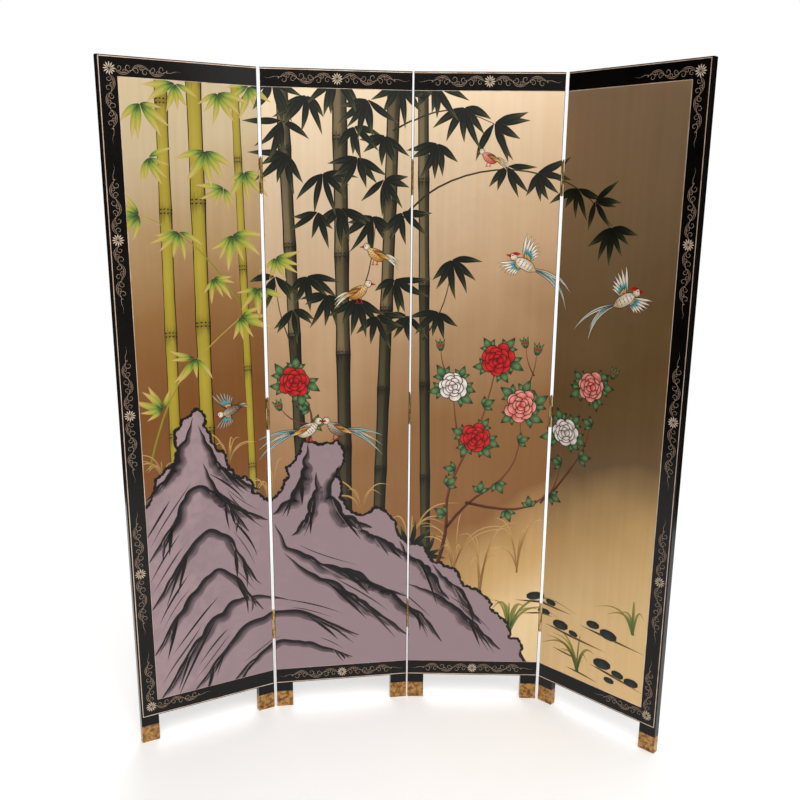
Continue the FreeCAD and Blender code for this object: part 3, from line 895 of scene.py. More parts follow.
def perched_bird(picture, foot, side, size, body, tail, long_tail, level):
    """A bird that stands on a branch or a rock, facing left or right."""
    def places(*pairs):
        return [Vector(foot) + Vector((side * across * size, up * size)) for across, up in pairs]

    reach = 1.7 if long_tail else 0.75
    for number, drop in enumerate((0.0, 0.12, 0.24)):
        points = places((-0.35, 0.42), (-0.35 - reach * 0.5, 0.5 - drop), (-0.35 - reach, 0.12 - 2.2 * drop * reach))
        picture.feather("cream_feather_paint", points, size * 0.13, "blade", level + number % 2)
        picture.stroke(tail, points, size * 0.075, "blade", level + 2)
    breast = places((-0.5, 0.36), (-0.1, 0.3), (0.42, 0.78))
    picture.feather(body, breast, size * 0.5, "seed", level + 3)
    body_feathers(picture, breast[1:], size * 0.4, level + 5)
    for number in range(4):
        points = places((0.14 - 0.06 * number, 0.66 - 0.05 * number), (-0.5 - 0.07 * number, 0.42 - 0.06 * number))
        colour = "ochre_feather_paint" if number % 2 else body
        picture.feather(colour, points, size * 0.16, "leaf", level + 5 + 2 * (number % 2))
    bird_head(picture, *places((0.46, 0.86)), 4 if side > 0 else 176, size * 0.34, level + 10, False)
    for step in (-0.06, 0.14):
        picture.stroke("beak_paint", places((step, 0.2), (step + 0.02, 0.0)), size * 0.045, "line", level + 2)
        for toe in (-0.1, 0.0, 0.1):
            points = places((step + 0.02, 0.02), (step + 0.02 + toe, -0.05))
            picture.stroke("beak_paint", points, size * 0.035, "taper", level + 2)


def pebble(picture, centre, width, tilt, level):
    """A dark stone with a pale line round it."""
    ends = ray(centre, tilt, -width / 2, width / 2)
    picture.edged("pebble_paint", "stone_edge_paint", ends, width * 0.54, "oval", level, EDGES["stone"])


def craggy(points, rng):
    """Break the runs of an outline into crags."""
    points = [Vector(point) for point in points]
    for _ in range(CRAG_ROUNDS):
        broken = []
        for first, second in zip(points, points[1:]):
            run = second - first
            bend = first.lerp(second, rng.uniform(0.38, 0.62))
            broken += [first, bend + Vector((-run.y, run.x)) * rng.uniform(-CRAG_ROUGHNESS, CRAG_ROUGHNESS)]
        points = broken + [points[-1]]
    return points


def walk(points, share):
    """Point at a share of the way along a broken line."""
    points = [Vector(point) for point in points]
    runs = [(second - first).length for first, second in zip(points, points[1:])]
    rest = share * sum(runs)
    for first, second, run in zip(points, points[1:], runs):
        if rest <= run:
            return first.lerp(second, rest / run)
        rest -= run
    return points[-1]


def rock_fold(picture, points, width, fingers, lines, rng, level):
    """A fold of the rock: a wash under a knobbly black edge that thickens downhill, dry fingers and fine lines."""
    path = [walk(points, step / FOLD_STEPS) for step in range(FOLD_STEPS + 1)]
    crest = max(range(FOLD_STEPS + 1), key=lambda step: path[step].y)
    insides, spine, edge, washes, cores = [], [], [], [], []
    drift = 0.0
    for step, place in enumerate(path):
        run = path[min(step + 2, FOLD_STEPS)] - path[max(step - 2, 0)]
        inside = Vector((run.y, -run.x)).normalized()
        swell = max(0.03, math.sin(math.pi * step / FOLD_STEPS)) ** 0.8
        slope = abs(step - crest) / max(crest, FOLD_STEPS - crest)
        drift = 0.55 * drift + rng.uniform(-0.3, 0.3) * width
        spread = width * (1.0 + 0.9 * slope) * swell * rng.uniform(0.8, 1.15)
        core = width * (0.12 + 0.42 * slope) * swell * rng.uniform(0.5, 1.4)
        edge.append(place + inside * (drift * swell + core * 0.5))
        spine.append(place + inside * (drift * swell + spread * 0.5))
        insides.append(inside)
        washes.append(spread)
        cores.append(core)
    picture.trail("rock_shade_paint", spine, washes, level)
    picture.trail("ink_paint", edge, cores, level + 4)

    def run_down(foot, nearest, farthest, shortest, longest):
        """Four steps of the path, from a place below the crest towards the foot of a slope."""
        first = crest + (foot - crest) * rng.uniform(nearest, farthest)
        last = first + (foot - first) * rng.uniform(shortest, longest)
        return [round(first + (last - first) * part / 3) for part in range(4)]

    for foot in (0, FOLD_STEPS):
        if abs(foot - crest) <= FOLD_STEPS // 4:
            continue
        for number in range(fingers):
            places = [path[step] + insides[step] * width * (0.1 + (0.35 + 0.4 * number) * part / 3)
                      for part, step in enumerate(run_down(foot, 0.3, 0.7, 0.5, 1.0))]
            picture.stroke("ink_paint" if number % 2 else "rock_shade_paint", places, width * rng.uniform(0.2, 0.42),
                           "brush", level + 2 + number % 2)
        # Fine lines on the outer side, more or less along the fold
        for number in range(lines):
            places = [path[step] - insides[step] * width * (0.6 + 0.8 * number + rng.uniform(-0.12, 0.3))
                      for step in run_down(foot, 0.1, 0.5, 0.5, 0.9)]
            picture.stroke("ink_paint" if number else "rock_shade_paint", places, width * rng.uniform(0.12, 0.26),
                           "leaf", level + 2)


# Layout of the borders and the picture, in the drawing's millimetres

# Heights of the flowers in the side borders, and reach of the scrolls at an end, a side and a corner
SIDE_FLOWERS = (511, 953, 1400)
END_REACH, SIDE_REACH, CORNER_REACH = 190, 182, 172

# Level of each motif's lowest coat, in paint steps over the ground
LEVELS = {
    "olive_stems": 0, "ink_stems": 4, "twigs": 8, "sprays": 9, "grass": 16, "water": 17, "flower_stems": 18,
    "stem_leaves": 19, "pebbles": 19, "rock": 21, "rock_folds": 22, "buds": 22, "peonies": 22, "rock_edge": 28,
    "birds": 30,
}

# Bamboo stems: style, foot, head, width and run between joints
STEMS = (
    ("olive", (136, 600), (150, 1800), 32, 300),
    ("olive", (226, 600), (232, 1800), 40, 285),
    ("olive", (356, 520), (338, 1800), 22, 250),
    ("ink", (492, 560), (452, 1800), 34, 270),
    ("ink", (612, 560), (602, 1800), 40, 290),
    ("ink", (706, 480), (748, 1800), 36, 262),
    ("ink", (846, 420), (820, 1800), 30, 280),
)

# Twigs: paint, points and width at the start, and the share of it that they lose by the tip
TWIG_LOSS = 0.6
TWIGS = (
    ("twig_paint",
     [(738, 1400), (790, 1490), (900, 1560), (1040, 1590), (1180, 1566), (1290, 1508), (1350, 1440)], 6.0),
    ("twig_paint", [(744, 1680), (830, 1730), (930, 1736), (1010, 1700)], 5.0),
    ("twig_paint", [(608, 1180), (650, 1230), (690, 1330), (700, 1460)], 5.0),
    ("twig_paint", [(828, 1120), (870, 1180), (900, 1270), (905, 1330)], 4.5),
    ("twig_paint", [(484, 1000), (470, 1100), (430, 1200), (424, 1290)], 4.5),
    ("lime_twig_paint", [(66, 800), (110, 960), (200, 1090), (330, 1190)], 6.0),
    ("lime_twig_paint", [(330, 1240), (250, 1360), (140, 1440), (80, 1460)], 5.0),
)

# Sprays of leaves: root, heading in degrees, leaves and their length
LIME_SPRAYS = (
    ((96, 1726), -70, 6, 89), ((186, 1776), -95, 6, 89), ((292, 1760), -80, 6, 93), ((376, 1782), -100, 5, 83),
    ((110, 1600), -50, 6, 83), ((254, 1620), -100, 6, 93), ((356, 1570), -70, 6, 86), ((300, 1530), -120, 5, 79),
    ((80, 1462), 190, 6, 89), ((176, 1420), -110, 6, 83), ((318, 1410), -75, 6, 95), ((262, 1300), -60, 6, 79),
    ((332, 1194), -40, 6, 95), ((202, 1092), -130, 6, 86), ((112, 960), 150, 6, 84), ((426, 1350), -60, 6, 79),
    ((384, 1270), -95, 6, 83),
)
INK_SPRAYS = (
    ((428, 1800), -70, 6, 110), ((516, 1764), -105, 6, 112), ((592, 1806), -80, 6, 112), ((676, 1758), -110, 6, 110),
    ((762, 1800), -75, 6, 114), ((452, 1700), -110, 5, 104), ((640, 1690), -70, 5, 104), ((724, 1668), -100, 5, 106),
    ((466, 1616), -125, 6, 106), ((556, 1570), -70, 6, 108), ((650, 1612), -95, 6, 112), ((722, 1556), -60, 6, 106),
    ((690, 1460), -110, 6, 110), ((604, 1480), -80, 6, 104), ((542, 1470), -110, 5, 100), ((770, 1470), -70, 5, 104),
    ((424, 1300), -95, 5, 100), ((510, 1300), -65, 6, 106), ((566, 1250), -110, 6, 104), ((648, 1238), -90, 6, 110),
    ((752, 1290), -75, 6, 106), ((786, 1190), -110, 5, 100), ((470, 1210), -80, 5, 98), ((700, 1190), -60, 5, 98),
    ((850, 1800), -65, 6, 110), ((930, 1742), -85, 6, 116), ((1010, 1702), -40, 6, 116), ((860, 1650), -110, 6, 108),
    ((905, 1344), -70, 6, 104), ((872, 1200), -100, 5, 98), ((1048, 1592), -75, 5, 92), ((1130, 1576), -50, 6, 104),
    ((1240, 1536), -95, 5, 98), ((1352, 1438), -80, 6, 104), ((1296, 1504), -25, 5, 90),
    ((800, 500), 80, 5, 84), ((838, 470), 60, 5, 76),
)

# Sprays by kind: paint of the leaves and of their rims, spread to each side, step between levels, levels, and sprays
SPRAYS = (
    ("lime_leaf_paint", None, 70.0, 1, 3, LIME_SPRAYS),
    ("ink_leaf_paint", "leaf_rim_paint", 66.0, 3, 4, INK_SPRAYS),
)

# Outline of the rock, and least and greatest width of the ink along it
ROCK_EDGE = (3.5, 12.0)
ROCK_OUTLINE = (
    (-200, 0), (-200, 640), (40, 690), (66, 716), (92, 780), (116, 800), (138, 868), (164, 930), (196, 952), (222, 926),
    (236, 860), (270, 826), (296, 762), (334, 744), (356, 690), (398, 664), (430, 700), (442, 762), (470, 790),
    (494, 836), (548, 824), (592, 836), (608, 784), (584, 726), (594, 664), (640, 612), (700, 628), (746, 592),
    (778, 524), (824, 508), (864, 456), (930, 432), (962, 374), (1012, 358), (1044, 300), (1086, 268), (1104, 206),
    (1148, 172), (1170, 100), (1180, 0),
)

# Folds of the rock, each with its wash to the right of the way it is drawn: points, width of the wash, and fingers and
# fine lines on each slope
ROCK_FOLDS = (
    (((50, 716), (104, 770), (150, 850), (188, 930)), 22, 2, 0),
    (((204, 906), (246, 806), (306, 742), (372, 700)), 24, 3, 0),
    (((212, 800), (250, 716), (320, 650), (394, 606)), 22, 3, 1),
    (((48, 540), (112, 636), (166, 722), (206, 744), (250, 712), (300, 640), (336, 580)), 26, 4, 2),
    (((48, 400), (118, 506), (182, 594), (226, 614), (268, 584), (312, 512), (356, 424)), 28, 4, 2),
    (((48, 262), (116, 362), (188, 456), (240, 484), (284, 462), (326, 400), (372, 330)), 26, 4, 2),
    (((56, 120), (130, 226), (214, 326), (290, 380), (352, 384), (440, 350)), 28, 4, 2),
    (((150, 116), (226, 206), (306, 280), (390, 314), (470, 308), (560, 272), (650, 222)), 26, 4, 2),
    (((262, 112), (330, 176), (400, 216), (470, 222), (550, 194), (630, 150)), 22, 3, 1),
    (((400, 620), (450, 676), (486, 746), (504, 826)), 30, 4, 0),
    (((452, 552), (496, 606), (522, 676), (526, 742)), 26, 4, 0),
    (((594, 760), (566, 690), (592, 620), (690, 566)), 30, 4, 0),
    (((640, 600), (660, 560), (720, 520), (800, 470)), 24, 3, 0),
    (((404, 590), (440, 520), (520, 470), (640, 430), (790, 340)), 28, 4, 1),
    (((430, 500), (500, 430), (600, 380), (720, 290), (800, 210)), 26, 4, 1),
    (((600, 410), (680, 392), (760, 350), (850, 270), (900, 190)), 24, 4, 1),
    (((772, 520), (800, 470), (860, 430), (920, 330)), 26, 4, 0),
    (((866, 446), (916, 396), (976, 340), (1020, 250)), 24, 3, 0),
    (((790, 380), (880, 350), (990, 270), (1080, 166)), 26, 4, 1),
)

# Grass by paint: root, blades, height and lean
TUFTS = {
    "straw_paint": (
        ((98, 770), 7, 120, -0.3), ((282, 780), 8, 130, 0.2), ((400, 656), 7, 160, 0.1), ((660, 610), 6, 140, -0.2),
        ((800, 506), 8, 160, 0.3), ((930, 426), 8, 200, 0.2), ((1010, 360), 7, 260, 0.4), ((1120, 420), 7, 240, -0.3),
    ),
    "sage_paint": (((1104, 226), 9, 190, 0.3), ((1330, 150), 9, 150, -0.2), ((1500, 330), 6, 120, -0.4)),
}

# Lines of the water: start, end and width, and how far their middle may bend
WATER_BEND = 5
WATER_LINES = (
    ((1120, 332), (1300, 320), 7), ((1140, 288), (1236, 292), 5), ((1210, 262), (1420, 246), 7),
    ((1330, 300), (1540, 284), 7), ((1240, 196), (1350, 188), 5), ((1370, 190), (1542, 166), 7),
    ((1290, 150), (1400, 140), 5),
)

# Stones: centre, width and tilt in degrees
PEBBLES = (
    ((1176, 346), 46, 4), ((1224, 336), 34, -6), ((1206, 300), 32, 0), ((1262, 276), 52, 3), ((1308, 264), 30, -8),
    ((1372, 316), 42, 5), ((1424, 302), 54, -4), ((1410, 206), 56, 6), ((1462, 192), 38, -5), ((1436, 164), 32, 0),
    ((1506, 184), 44, 4),
)

# Flowering stems: points and width at the root, how much wider the bark makes them, and the share lost by the tip
BARK_WIDENING = 1.3
STEM_LOSS = 0.65
FLOWER_STEMS = (
    ([(880, 440), (910, 540), (900, 660), (950, 780), (1010, 900), (1040, 1060)], 9),
    ([(905, 560), (960, 640), (1060, 700), (1120, 800), (1110, 920)], 7),
    ([(948, 780), (920, 880), (918, 980)], 5),
    ([(960, 640), (1080, 610), (1180, 640), (1230, 720), (1240, 850)], 7),
    ([(1180, 640), (1270, 760), (1330, 880), (1320, 1000)], 5),
    ([(504, 826), (522, 880), (508, 950), (470, 1006)], 7),
    ([(1112, 960), (1150, 1020), (1150, 1086)], 4),
    ([(1146, 1020), (1120, 1060), (1120, 1104)], 3),
    ([(916, 1000), (880, 1040), (880, 1094)], 4),
    ([(1330, 1000), (1376, 1010), (1380, 1044)], 4),
    ([(514, 884), (456, 890), (432, 930)], 5),
)

# Leaves of the stems, and buds: root, heading in degrees and size
STEM_LEAVES = (
    ((904, 600), 150, 40), ((902, 690), 40, 42), ((930, 740), 170, 38), ((1000, 668), 80, 40), ((1048, 704), -60, 42),
    ((1080, 618), -70, 40), ((1150, 626), 100, 38), ((1200, 670), -20, 42), ((1236, 770), 170, 40),
    ((1290, 800), 10, 42), ((1330, 900), 160, 38), ((960, 820), 20, 40), ((1002, 930), 30, 40), ((1106, 826), 20, 38),
    ((520, 884), 10, 42), ((512, 930), 170, 40),
)
BUDS = (
    ((1150, 1080), 80, 34), ((1120, 1100), 105, 30), ((880, 1090), 95, 32), ((1380, 1040), 70, 32),
    ((430, 926), 110, 32),
)

# Peonies: colour, centre and radius
PEONIES = (
    ("red", (1040, 1066), 46), ("white", (916, 988), 42), ("pink", (1112, 934), 46), ("red", (984, 836), 43),
    ("white", (1242, 866), 42), ("pink", (1318, 1008), 42), ("red", (470, 1006), 43),
)

# Birds on the wing: centre, heading, size, feathers, streaming tail, and the side of the raised wing
FLYING_BIRDS = (
    ((300, 940), 200, 62, "dun_feather_paint", False, -1),
    ((1110, 1330), 150, 74, "cream_feather_paint", True, -1),
    ((1400, 1250), 30, 78, "cream_feather_paint", True, 1),
)

# Birds at rest: foot, facing, size, feathers, tail and streaming tail
RESTING_BIRDS = (
    ((1000, 1592), -1, 44, "pink_petal_paint", "ochre_feather_paint", False),
    ((650, 1226), 1, 60, "ochre_feather_paint", "cream_feather_paint", False),
    ((700, 1330), -1, 56, "ochre_feather_paint", "cream_feather_paint", False),
    ((506, 836), 1, 66, "cream_feather_paint", "teal_feather_paint", True),
    ((588, 838), -1, 64, "dun_feather_paint", "teal_feather_paint", True),
)

# Cuts along and across a gold ground
GROUND_CUTS = 7

# Hinge leaves: node, panel and the side of the panel that they are let into
LEAF_SIDES = (
    ("hinge_12_leaves_left", 1, 1), ("hinge_12_leaves_right", 2, -1), ("hinge_23_leaves_left", 2, 1),
    ("hinge_23_leaves_right", 3, -1), ("hinge_34_leaves_left", 3, 1), ("hinge_34_leaves_right", 4, -1),
)

# Thickness of a hinge leaf and tolerance on its face, least space between hinges, how far a screw stands in from
# the end of its leaf, and sides of its head
LEAF_THICKNESS = 1.2
FACE_TOLERANCE = 0.1
HINGE_SPACE = 200.0
SCREW_INSET = 18.0
SCREW_SIDES = 20

# Studio, in metres, watts and degrees: lamps with their place, aim, width and power, and the camera of the photograph
LAMPS = (
    ("overhead_softbox", (0.1, -2.6, 3.6), (0.0, 0.0, 1.0), 2.6, 70.0),
    ("right_softbox", (3.0, -2.2, 2.2), (0.0, 0.0, 0.9), 1.8, 14.0),
    ("back_softbox", (-0.8, 3.2, 3.0), (0.0, 0.0, 0.8), 2.2, 45.0),
)
FLOOR_RADIUS = 2.5
FLOOR_CENTRE = (0, 0.2, 0)
FLOOR_SIDES = 96
CAMERA_PLACE = (-0.0106, -2.3563, 1.4987)
CAMERA_DIP = 14.04
CAMERA_ROLL = 0.42
CAMERA_LENS = {"sensor_width": 36.0, "lens": 40.05, "shift_x": 0.0051, "shift_y": 0.0298, "clip_end": 100.0}


# Operators

class SCREEN_OT_lacquer(bpy.types.Operator):
    """Finish the wooden and metal pieces of the frame"""
    bl_idname = "screen.lacquer"
    bl_label = "Lacquer, gild and polish the frame"

    def execute(self, context):
        lacquer = black_lacquer()
        finishes = {"black_lacquer": lacquer, "painted_gold_ground": lacquer, "gilt_brass": gilt_brass(),
                    "hinge_brass": hinge_brass(), "bare_wood": sawn_pine()}
        for part in frame["record"]["subparts"]:
            materials = frame["nodes"][part["node"]].data.materials
            materials.clear()
            materials.append(finishes[part["material_slot"]])
        return {"FINISHED"}


class SCREEN_OT_ground(bpy.types.Operator):
    """Lay the gold-leaf ground of each picture"""
    bl_idname = "screen.ground"
    bl_label = "Lay the gold grounds"

    def execute(self, context):
        sizes = context.scene.screen_sizes
        finish = gold_ground()
        for number, (left, bottom, right, top) in picture_windows(sizes).items():
            bpy.ops.object.select_all(action="DESELECT")
            bpy.ops.mesh.primitive_plane_add(size=MM, location=((left + right) / 2 * MM, (bottom + top) / 2 * MM, 0))
            piece = context.object
            piece.name = f"panel_{number}_gold_ground"
            piece.scale = (right - left, top - bottom, 1)
            settle(piece)
            bpy.ops.object.mode_set(mode="EDIT")
            bpy.ops.mesh.subdivide(number_cuts=GROUND_CUTS)
            bpy.ops.object.mode_set(mode="OBJECT")
            apply_modifier(piece, "Coat", "SOLIDIFY", thickness=sizes.ground_coat, offset=1.0)
            apply_modifier(piece, "Edge", "BEVEL", width=sizes.ground_coat / 3, limit_method="ANGLE")
            piece.data.materials.append(finish)
            hang_on_panel(piece, number)
        return {"FINISHED"}


class SCREEN_OT_lines(bpy.types.Operator):
    """Draw the gilt lines along the outer edges and round the picture"""
    bl_idname = "screen.lines"
    bl_label = "Draw the gilt lines"

    def execute(self, context):
        sizes = context.scene.screen_sizes
        gilt = gilt_line().name
        picture = Picture()
        over_ground = math.ceil(sizes.ground_coat / sizes.paint_step)
        for side, end, width, level in (
                (sizes.edge_margin, sizes.arris + sizes.edge_line, sizes.edge_line, 0),
                (sizes.side_border, sizes.end_border, sizes.picture_line, over_ground)):
            self.frame_line(picture, gilt, side / MM, end / MM, width / MM, level)
        lay(picture, "gilt_lines", sizes, on_gold=False)
        return {"FINISHED"}

    def frame_line(self, picture, gilt, side, end, width, level):
        """One line round the whole row."""
        left, right = side, ROW_WIDTH - side
        bottom, top = PANEL_FOOT + end, PANEL_TOP - end
        corners = [Vector(corner) for corner in ((left, bottom), (right, bottom), (right, top), (left, top))]
        for first, second in zip(corners, corners[1:] + corners[:1]):
            reach = (second - first).normalized() * width / 2
            picture.stroke(gilt, [first - reach, second + reach], width, "line", level)


class SCREEN_OT_scrolls(bpy.types.Operator):
    """Paint the flowered scrolls of the lacquer borders"""
    bl_idname = "screen.scrolls"
    bl_label = "Paint the border scrolls"

    def execute(self, context):
        sizes = context.scene.screen_sizes
        picture = Picture()
        stem = sizes.scroll_line / MM
        inset = sizes.corner_inset / MM
        end, side = sizes.end_border / MM / 2, sizes.side_border / MM / 2
        for number in PANELS[1:-1]:
            for height in (PANEL_FOOT + end, PANEL_TOP - end):
                self.ornament(picture, ((number - 0.5) * PANEL_WIDTH, height), (0, 180), END_REACH, stem)
        for across, corner, inward in ((side, inset, 0), (ROW_WIDTH - side, ROW_WIDTH - inset, 180)):
            for height in SIDE_FLOWERS:
                self.ornament(picture, (across, height), (90, 270), SIDE_REACH, stem)
            for height, heading in ((PANEL_FOOT + inset, 90), (PANEL_TOP - inset, 270)):
                self.ornament(picture, (corner, height), (heading, inward), CORNER_REACH, stem)
        lay(picture, "border_scrolls", sizes, on_gold=False)
        return {"FINISHED"}

    def ornament(self, picture, centre, headings, reach, stem):
        """A flower with a scroll on two sides of it."""
        rosette(picture, centre)
        for side, heading in zip((1, -1), headings):
            scroll_arm(picture, centre, heading, reach, stem, side)


class SCREEN_OT_screws(bpy.types.Operator):
    """Drive the slotted screws of the hinge leaves"""
    bl_idname = "screen.screws"
    bl_label = "Drive the hinge screws"

    def execute(self, context):
        first = self.screw(context.scene.screen_sizes.screw_head)
        for leaves, number, outward in LEAF_SIDES:
            to_panel = PLACES[number].inverted()
            edge = PANEL_WIDTH * MM if outward > 0 else 0.0
            plate = edge + outward * LEAF_THICKNESS * MM
            face = [point for point in (to_panel @ corner for corner in node_points(leaves))
                    if abs(point.x - plate) < FACE_TOLERANCE * MM and 0 < point.y < PANEL_DEPTH * MM]
            if not face:
                raise RuntimeError(f"No leaf face found on {leaves}")
            depths = [point.y for point in face]
            middle = (min(depths) + max(depths)) / 2
            copies = []
            for height in self.heights(sorted(point.z for point in face)):
                take(first)
                bpy.ops.object.duplicate(linked=False)
                copy = context.object
                # Each slot stands at a turn of its own, which follows from the screw's height
                turn = Matrix.Rotation(math.pi / 2 * outward, 4, "Y") @ Matrix.Rotation(height / MM, 4, "Z")
                copy.matrix_world = PLACES[number] @ Matrix.Translation((plate, middle, height)) @ turn
                copies.append(copy)
            take(*copies)
            bpy.ops.object.join()
            piece = context.object
            piece.name = f"{leaves}_screws"
            settle(piece)
            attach(piece, f"panel_{number}")
        bpy.data.objects.remove(first)
        return {"FINISHED"}

    def heights(self, rise):
        """Two screws for each leaf, a little in from its ends."""
        ends = [rise[0]]
        for low, high in zip(rise, rise[1:]):
            if high - low > HINGE_SPACE * MM:
                ends += [low, high]
        ends.append(rise[-1])
        return [end + SCREW_INSET * MM * (1 if number % 2 == 0 else -1) for number, end in enumerate(ends)]

    def screw(self, width):
        """Model one slotted oval head, standing on the floor."""
        depth = width * 0.09
        bpy.ops.object.select_all(action="DESELECT")
        bpy.ops.mesh.primitive_cylinder_add(
            vertices=SCREW_SIDES, radius=width / 2, depth=depth, location=(0, 0, depth / 2))
        head = bpy.context.object
        settle(head)
        pick_faces(head, lambda polygon: polygon.normal.z > 0.9)
        bpy.ops.mesh.inset(thickness=width * 0.2)
        bpy.ops.transform.translate(value=(0, 0, depth * 0.5))
        bpy.ops.object.mode_set(mode="OBJECT")
        bpy.ops.object.select_all(action="DESELECT")
        bpy.ops.mesh.primitive_cube_add(size=1.0, location=(0, 0, depth * 1.5))
        slot = bpy.context.object
        slot.scale = (width * 1.2, width * 0.14, depth * 1.4)
        settle(slot)
        apply_modifier(head, "Slot", "BOOLEAN", operation="DIFFERENCE", solver="EXACT", object=slot)
        bpy.data.objects.remove(slot)
        apply_modifier(head, "Edge", "BEVEL", width=width * 0.015, limit_method="ANGLE")
        head.data.materials.append(bpy.data.materials["handled_brass"])
        return head


class SCREEN_OT_bamboo(bpy.types.Operator):
    """Paint the bamboo: stems, twigs and leaves"""
    bl_idname = "screen.bamboo"
    bl_label = "Paint the bamboo"

    def execute(self, context):
        sizes = context.scene.screen_sizes
        rng = random.Random(SEED)
        stems, leaves = Picture(), Picture()
        for order, (style, foot, head, width, spacing) in enumerate(STEMS):
            level = LEVELS[f"{style}_stems"] + 2 * (order % 2)
            bamboo_stem(stems, style, foot, head, width, spacing, rng, level)
        for colour, points, width in TWIGS:
            leaves.trail(colour, points, thinning(points, width, TWIG_LOSS), LEVELS["twigs"])
        for colour, rim, spread, step, levels, sprays in SPRAYS:
            for order, spray in enumerate(sprays):
                leaf_spray(leaves, colour, rim, spread, *spray, rng, LEVELS["sprays"] + step * (order % levels))
        lay(stems, "bamboo_stems", sizes)
        lay(leaves, "bamboo_leaves", sizes)
        return {"FINISHED"}


class SCREEN_OT_rock(bpy.types.Operator):
    """Paint the mauve rock and the folds on it"""
    bl_idname = "screen.rock"
    bl_label = "Paint the rock"

    def execute(self, context):
        rng = random.Random(SEED)
        picture = Picture()
        outline = craggy(ROCK_OUTLINE, rng)
        picture.fill("rock_paint", outline, LEVELS["rock"])
        for fold in ROCK_FOLDS:
            rock_fold(picture, *fold, rng, LEVELS["rock_folds"])
        picture.trail("ink_paint", outline, [rng.uniform(*ROCK_EDGE) for _ in outline], LEVELS["rock_edge"])
        lay(picture, "rock", context.scene.screen_sizes)
        return {"FINISHED"}


class SCREEN_OT_shore(bpy.types.Operator):
    """Paint the grasses, the stones and the lines of the water"""
    bl_idname = "screen.shore"
    bl_label = "Paint the shore"

    def execute(self, context):
        rng = random.Random(SEED)
        picture = Picture()
        for colour, tufts in TUFTS.items():
            for tuft in tufts:
                grass(picture, colour, *tuft, rng, LEVELS["grass"])
        for start, end, width in WATER_LINES:
            middle = (Vector(start) + Vector(end)) / 2 + Vector((0, rng.uniform(-WATER_BEND, WATER_BEND)))
            picture.stroke("water_line_paint", [start, middle, end], width, "brush", LEVELS["water"])
        for stone in PEBBLES:
            pebble(picture, *stone, LEVELS["pebbles"])
        lay(picture, "shore", context.scene.screen_sizes)
        return {"FINISHED"}


class SCREEN_OT_peonies(bpy.types.Operator):
    """Paint the peonies with their stems, leaves and buds"""
    bl_idname = "screen.peonies"
    bl_label = "Paint the peonies"

    def execute(self, context):
        rng = random.Random(SEED)
        picture = Picture()
        for points, width in FLOWER_STEMS:
            widths = thinning(points, BARK_WIDENING * width, STEM_LOSS)
            picture.trail("bark_paint", points, widths, LEVELS["flower_stems"])
        for leaf in STEM_LEAVES:
            flower_leaf(picture, *leaf, LEVELS["stem_leaves"])
        for closed in BUDS:
            bud(picture, *closed, LEVELS["buds"])
        for flower in PEONIES:
            peony(picture, *flower, rng, LEVELS["peonies"])
        lay(picture, "peonies", context.scene.screen_sizes)
        return {"FINISHED"}


class SCREEN_OT_birds(bpy.types.Operator):
    """Paint the birds, on the wing and at rest"""
    bl_idname = "screen.birds"
    bl_label = "Paint the birds"

    def execute(self, context):
        picture = Picture()
        for bird in FLYING_BIRDS:
            flying_bird(picture, *bird, LEVELS["birds"])
        for bird in RESTING_BIRDS:
            perched_bird(picture, *bird, LEVELS["birds"])
        lay(picture, "birds", context.scene.screen_sizes)
        return {"FINISHED"}


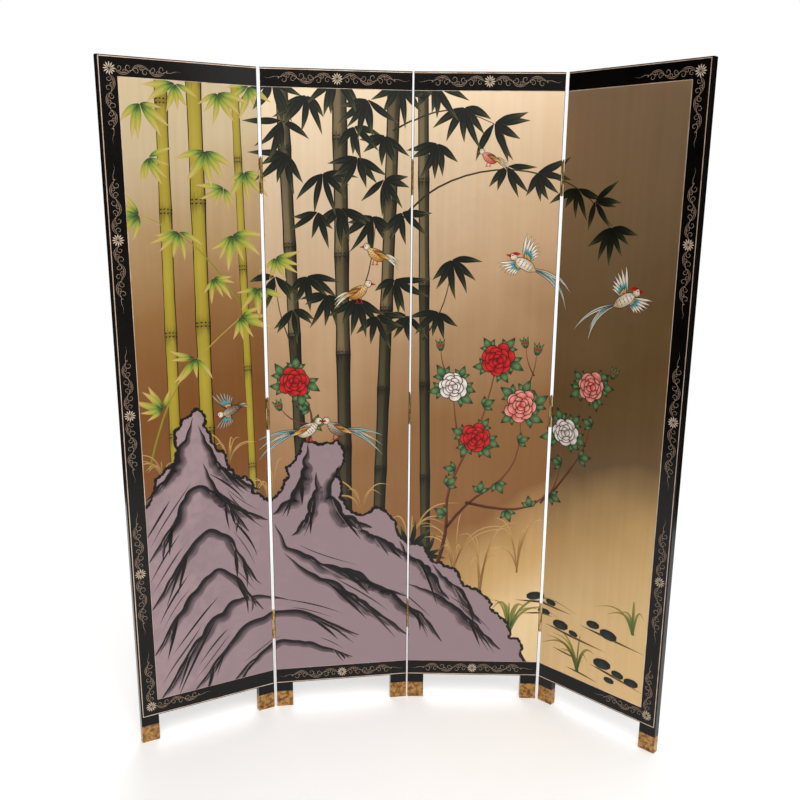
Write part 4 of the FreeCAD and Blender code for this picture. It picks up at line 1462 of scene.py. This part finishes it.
class SCREEN_OT_stage(bpy.types.Operator):
    """Set the floor, the light and the camera"""
    bl_idname = "screen.stage"
    bl_label = "Set the stage"

    def execute(self, context):
        scene = context.scene
        self.floor(scene.screen_colours.floor)
        self.light(scene)
        self.camera(scene)
        return {"FINISHED"}

    def floor(self, colour):
        """A round floor under the screen."""
        bpy.ops.object.select_all(action="DESELECT")
        bpy.ops.mesh.primitive_circle_add(
            vertices=FLOOR_SIDES, radius=FLOOR_RADIUS, fill_type="NGON", location=FLOOR_CENTRE)
        floor = bpy.context.object
        floor.name = "studio_floor"
        settle(floor)
        floor.data.materials.append(pale_floor(colour))

    def light(self, scene):
        """A room that the lacquer and the gold reflect, white where the camera sees it, and the lamps."""
        world = bpy.data.worlds.new("studio")
        scene.world = world
        world.use_nodes = True
        tree = world.node_tree
        tree.nodes.clear()
        direction = add(tree, "TexCoord").outputs["Generated"]
        split = add(tree, "SeparateXYZ", {"Vector": direction})
        rise = add(tree, "MapRange", {"Value": split.outputs["Z"], "From Min": -1.0, "From Max": 1.0})
        wall = add(tree, "ValToRGB", {"Fac": rise}, [
            (0.25, "D8D2C8"), (0.42, "B0A89C"), (0.5, "7A746A"), (0.56, "8A847A"), (0.66, "DCD9D4"), (1.0, "FFFFFF")])
        turn = add(tree, "MapRange", {"Value": split.outputs["X"], "From Min": -1.0, "From Max": 1.0})
        side = add(tree, "ValToRGB", {"Fac": turn}, [
            (0.0, "121212"), (0.25, "4A4A4A"), (0.42, "F0F0F0"), (0.65, "FFFFFF"), (0.87, "D2D2D2"), (0.94, "3A3A3A")])
        tone = add(tree, "Mix", {
            MIX_SHARE: 1.0, MIX_FIRST: wall, MIX_SECOND: side}, data_type="RGBA", blend_type="MULTIPLY")
        room = add(tree, "Background", {"Color": tone.outputs[MIX_RESULT], "Strength": 1.3})
        seen = add(tree, "Background", {"Color": linear("FFFFFF"), "Strength": 1.0})
        path = add(tree, "LightPath")
        mix = add(tree, "MixShader", {0: path.outputs["Is Camera Ray"], 1: room, 2: seen})
        add(tree, "OutputWorld", {"Surface": mix})
        scene.view_settings.view_transform = "Standard"
        for name, place, aim, size, power in LAMPS:
            bpy.ops.object.light_add(type="AREA", location=place)
            lamp = bpy.context.object
            lamp.name = name
            lamp.data.energy = power
            lamp.data.size = size
            lamp.rotation_euler = (Vector(aim) - Vector(place)).to_track_quat("-Z", "Y").to_euler()

    def camera(self, scene):
        """The camera of the photograph."""
        bpy.ops.object.camera_add(location=CAMERA_PLACE)
        camera = bpy.context.object
        camera.name = "photo_camera"
        tilt = Matrix.Rotation(math.radians(90 - CAMERA_DIP), 4, "X")
        roll = Matrix.Rotation(math.radians(CAMERA_ROLL), 4, "Z")
        camera.rotation_euler = (tilt @ roll).to_euler()
        for setting, value in CAMERA_LENS.items():
            setattr(camera.data, setting, value)
        scene.camera = camera


class SCREEN_PT_panel(bpy.types.Panel):
    """Steps that dress the screen, in order"""
    bl_idname = "SCREEN_PT_panel"
    bl_label = "Folding screen"
    bl_space_type = "VIEW_3D"
    bl_region_type = "UI"
    bl_category = "Screen"

    def draw(self, context):
        for operator in OPERATORS:
            self.layout.operator(operator.bl_idname)
        for group in (context.scene.screen_sizes, context.scene.screen_colours):
            for name in group.__annotations__:
                self.layout.prop(group, name)


OPERATORS = (
    SCREEN_OT_lacquer,
    SCREEN_OT_screws,
    SCREEN_OT_ground,
    SCREEN_OT_lines,
    SCREEN_OT_scrolls,
    SCREEN_OT_bamboo,
    SCREEN_OT_rock,
    SCREEN_OT_shore,
    SCREEN_OT_peonies,
    SCREEN_OT_birds,
    SCREEN_OT_stage,
)
CLASSES = (ScreenSizes, ScreenColours, *OPERATORS, SCREEN_PT_panel)


def register():
    """Add the classes and the settings to Blender."""
    for item in CLASSES:
        bpy.utils.register_class(item)
    bpy.types.Scene.screen_sizes = bpy.props.PointerProperty(type=ScreenSizes)
    bpy.types.Scene.screen_colours = bpy.props.PointerProperty(type=ScreenColours)


def unregister():
    """Take the settings and the classes out again."""
    del bpy.types.Scene.screen_colours
    del bpy.types.Scene.screen_sizes
    for item in reversed(CLASSES):
        bpy.utils.unregister_class(item)


def main():
    """Dress the screen."""
    register()
    bpy.ops.screen.lacquer()
    bpy.ops.screen.screws()
    bpy.ops.screen.ground()
    bpy.ops.screen.lines()
    bpy.ops.screen.scrolls()
    bpy.ops.screen.bamboo()
    bpy.ops.screen.rock()
    bpy.ops.screen.shore()
    bpy.ops.screen.peonies()
    bpy.ops.screen.birds()
    bpy.ops.screen.stage()


if __name__ == "__main__":
    main()
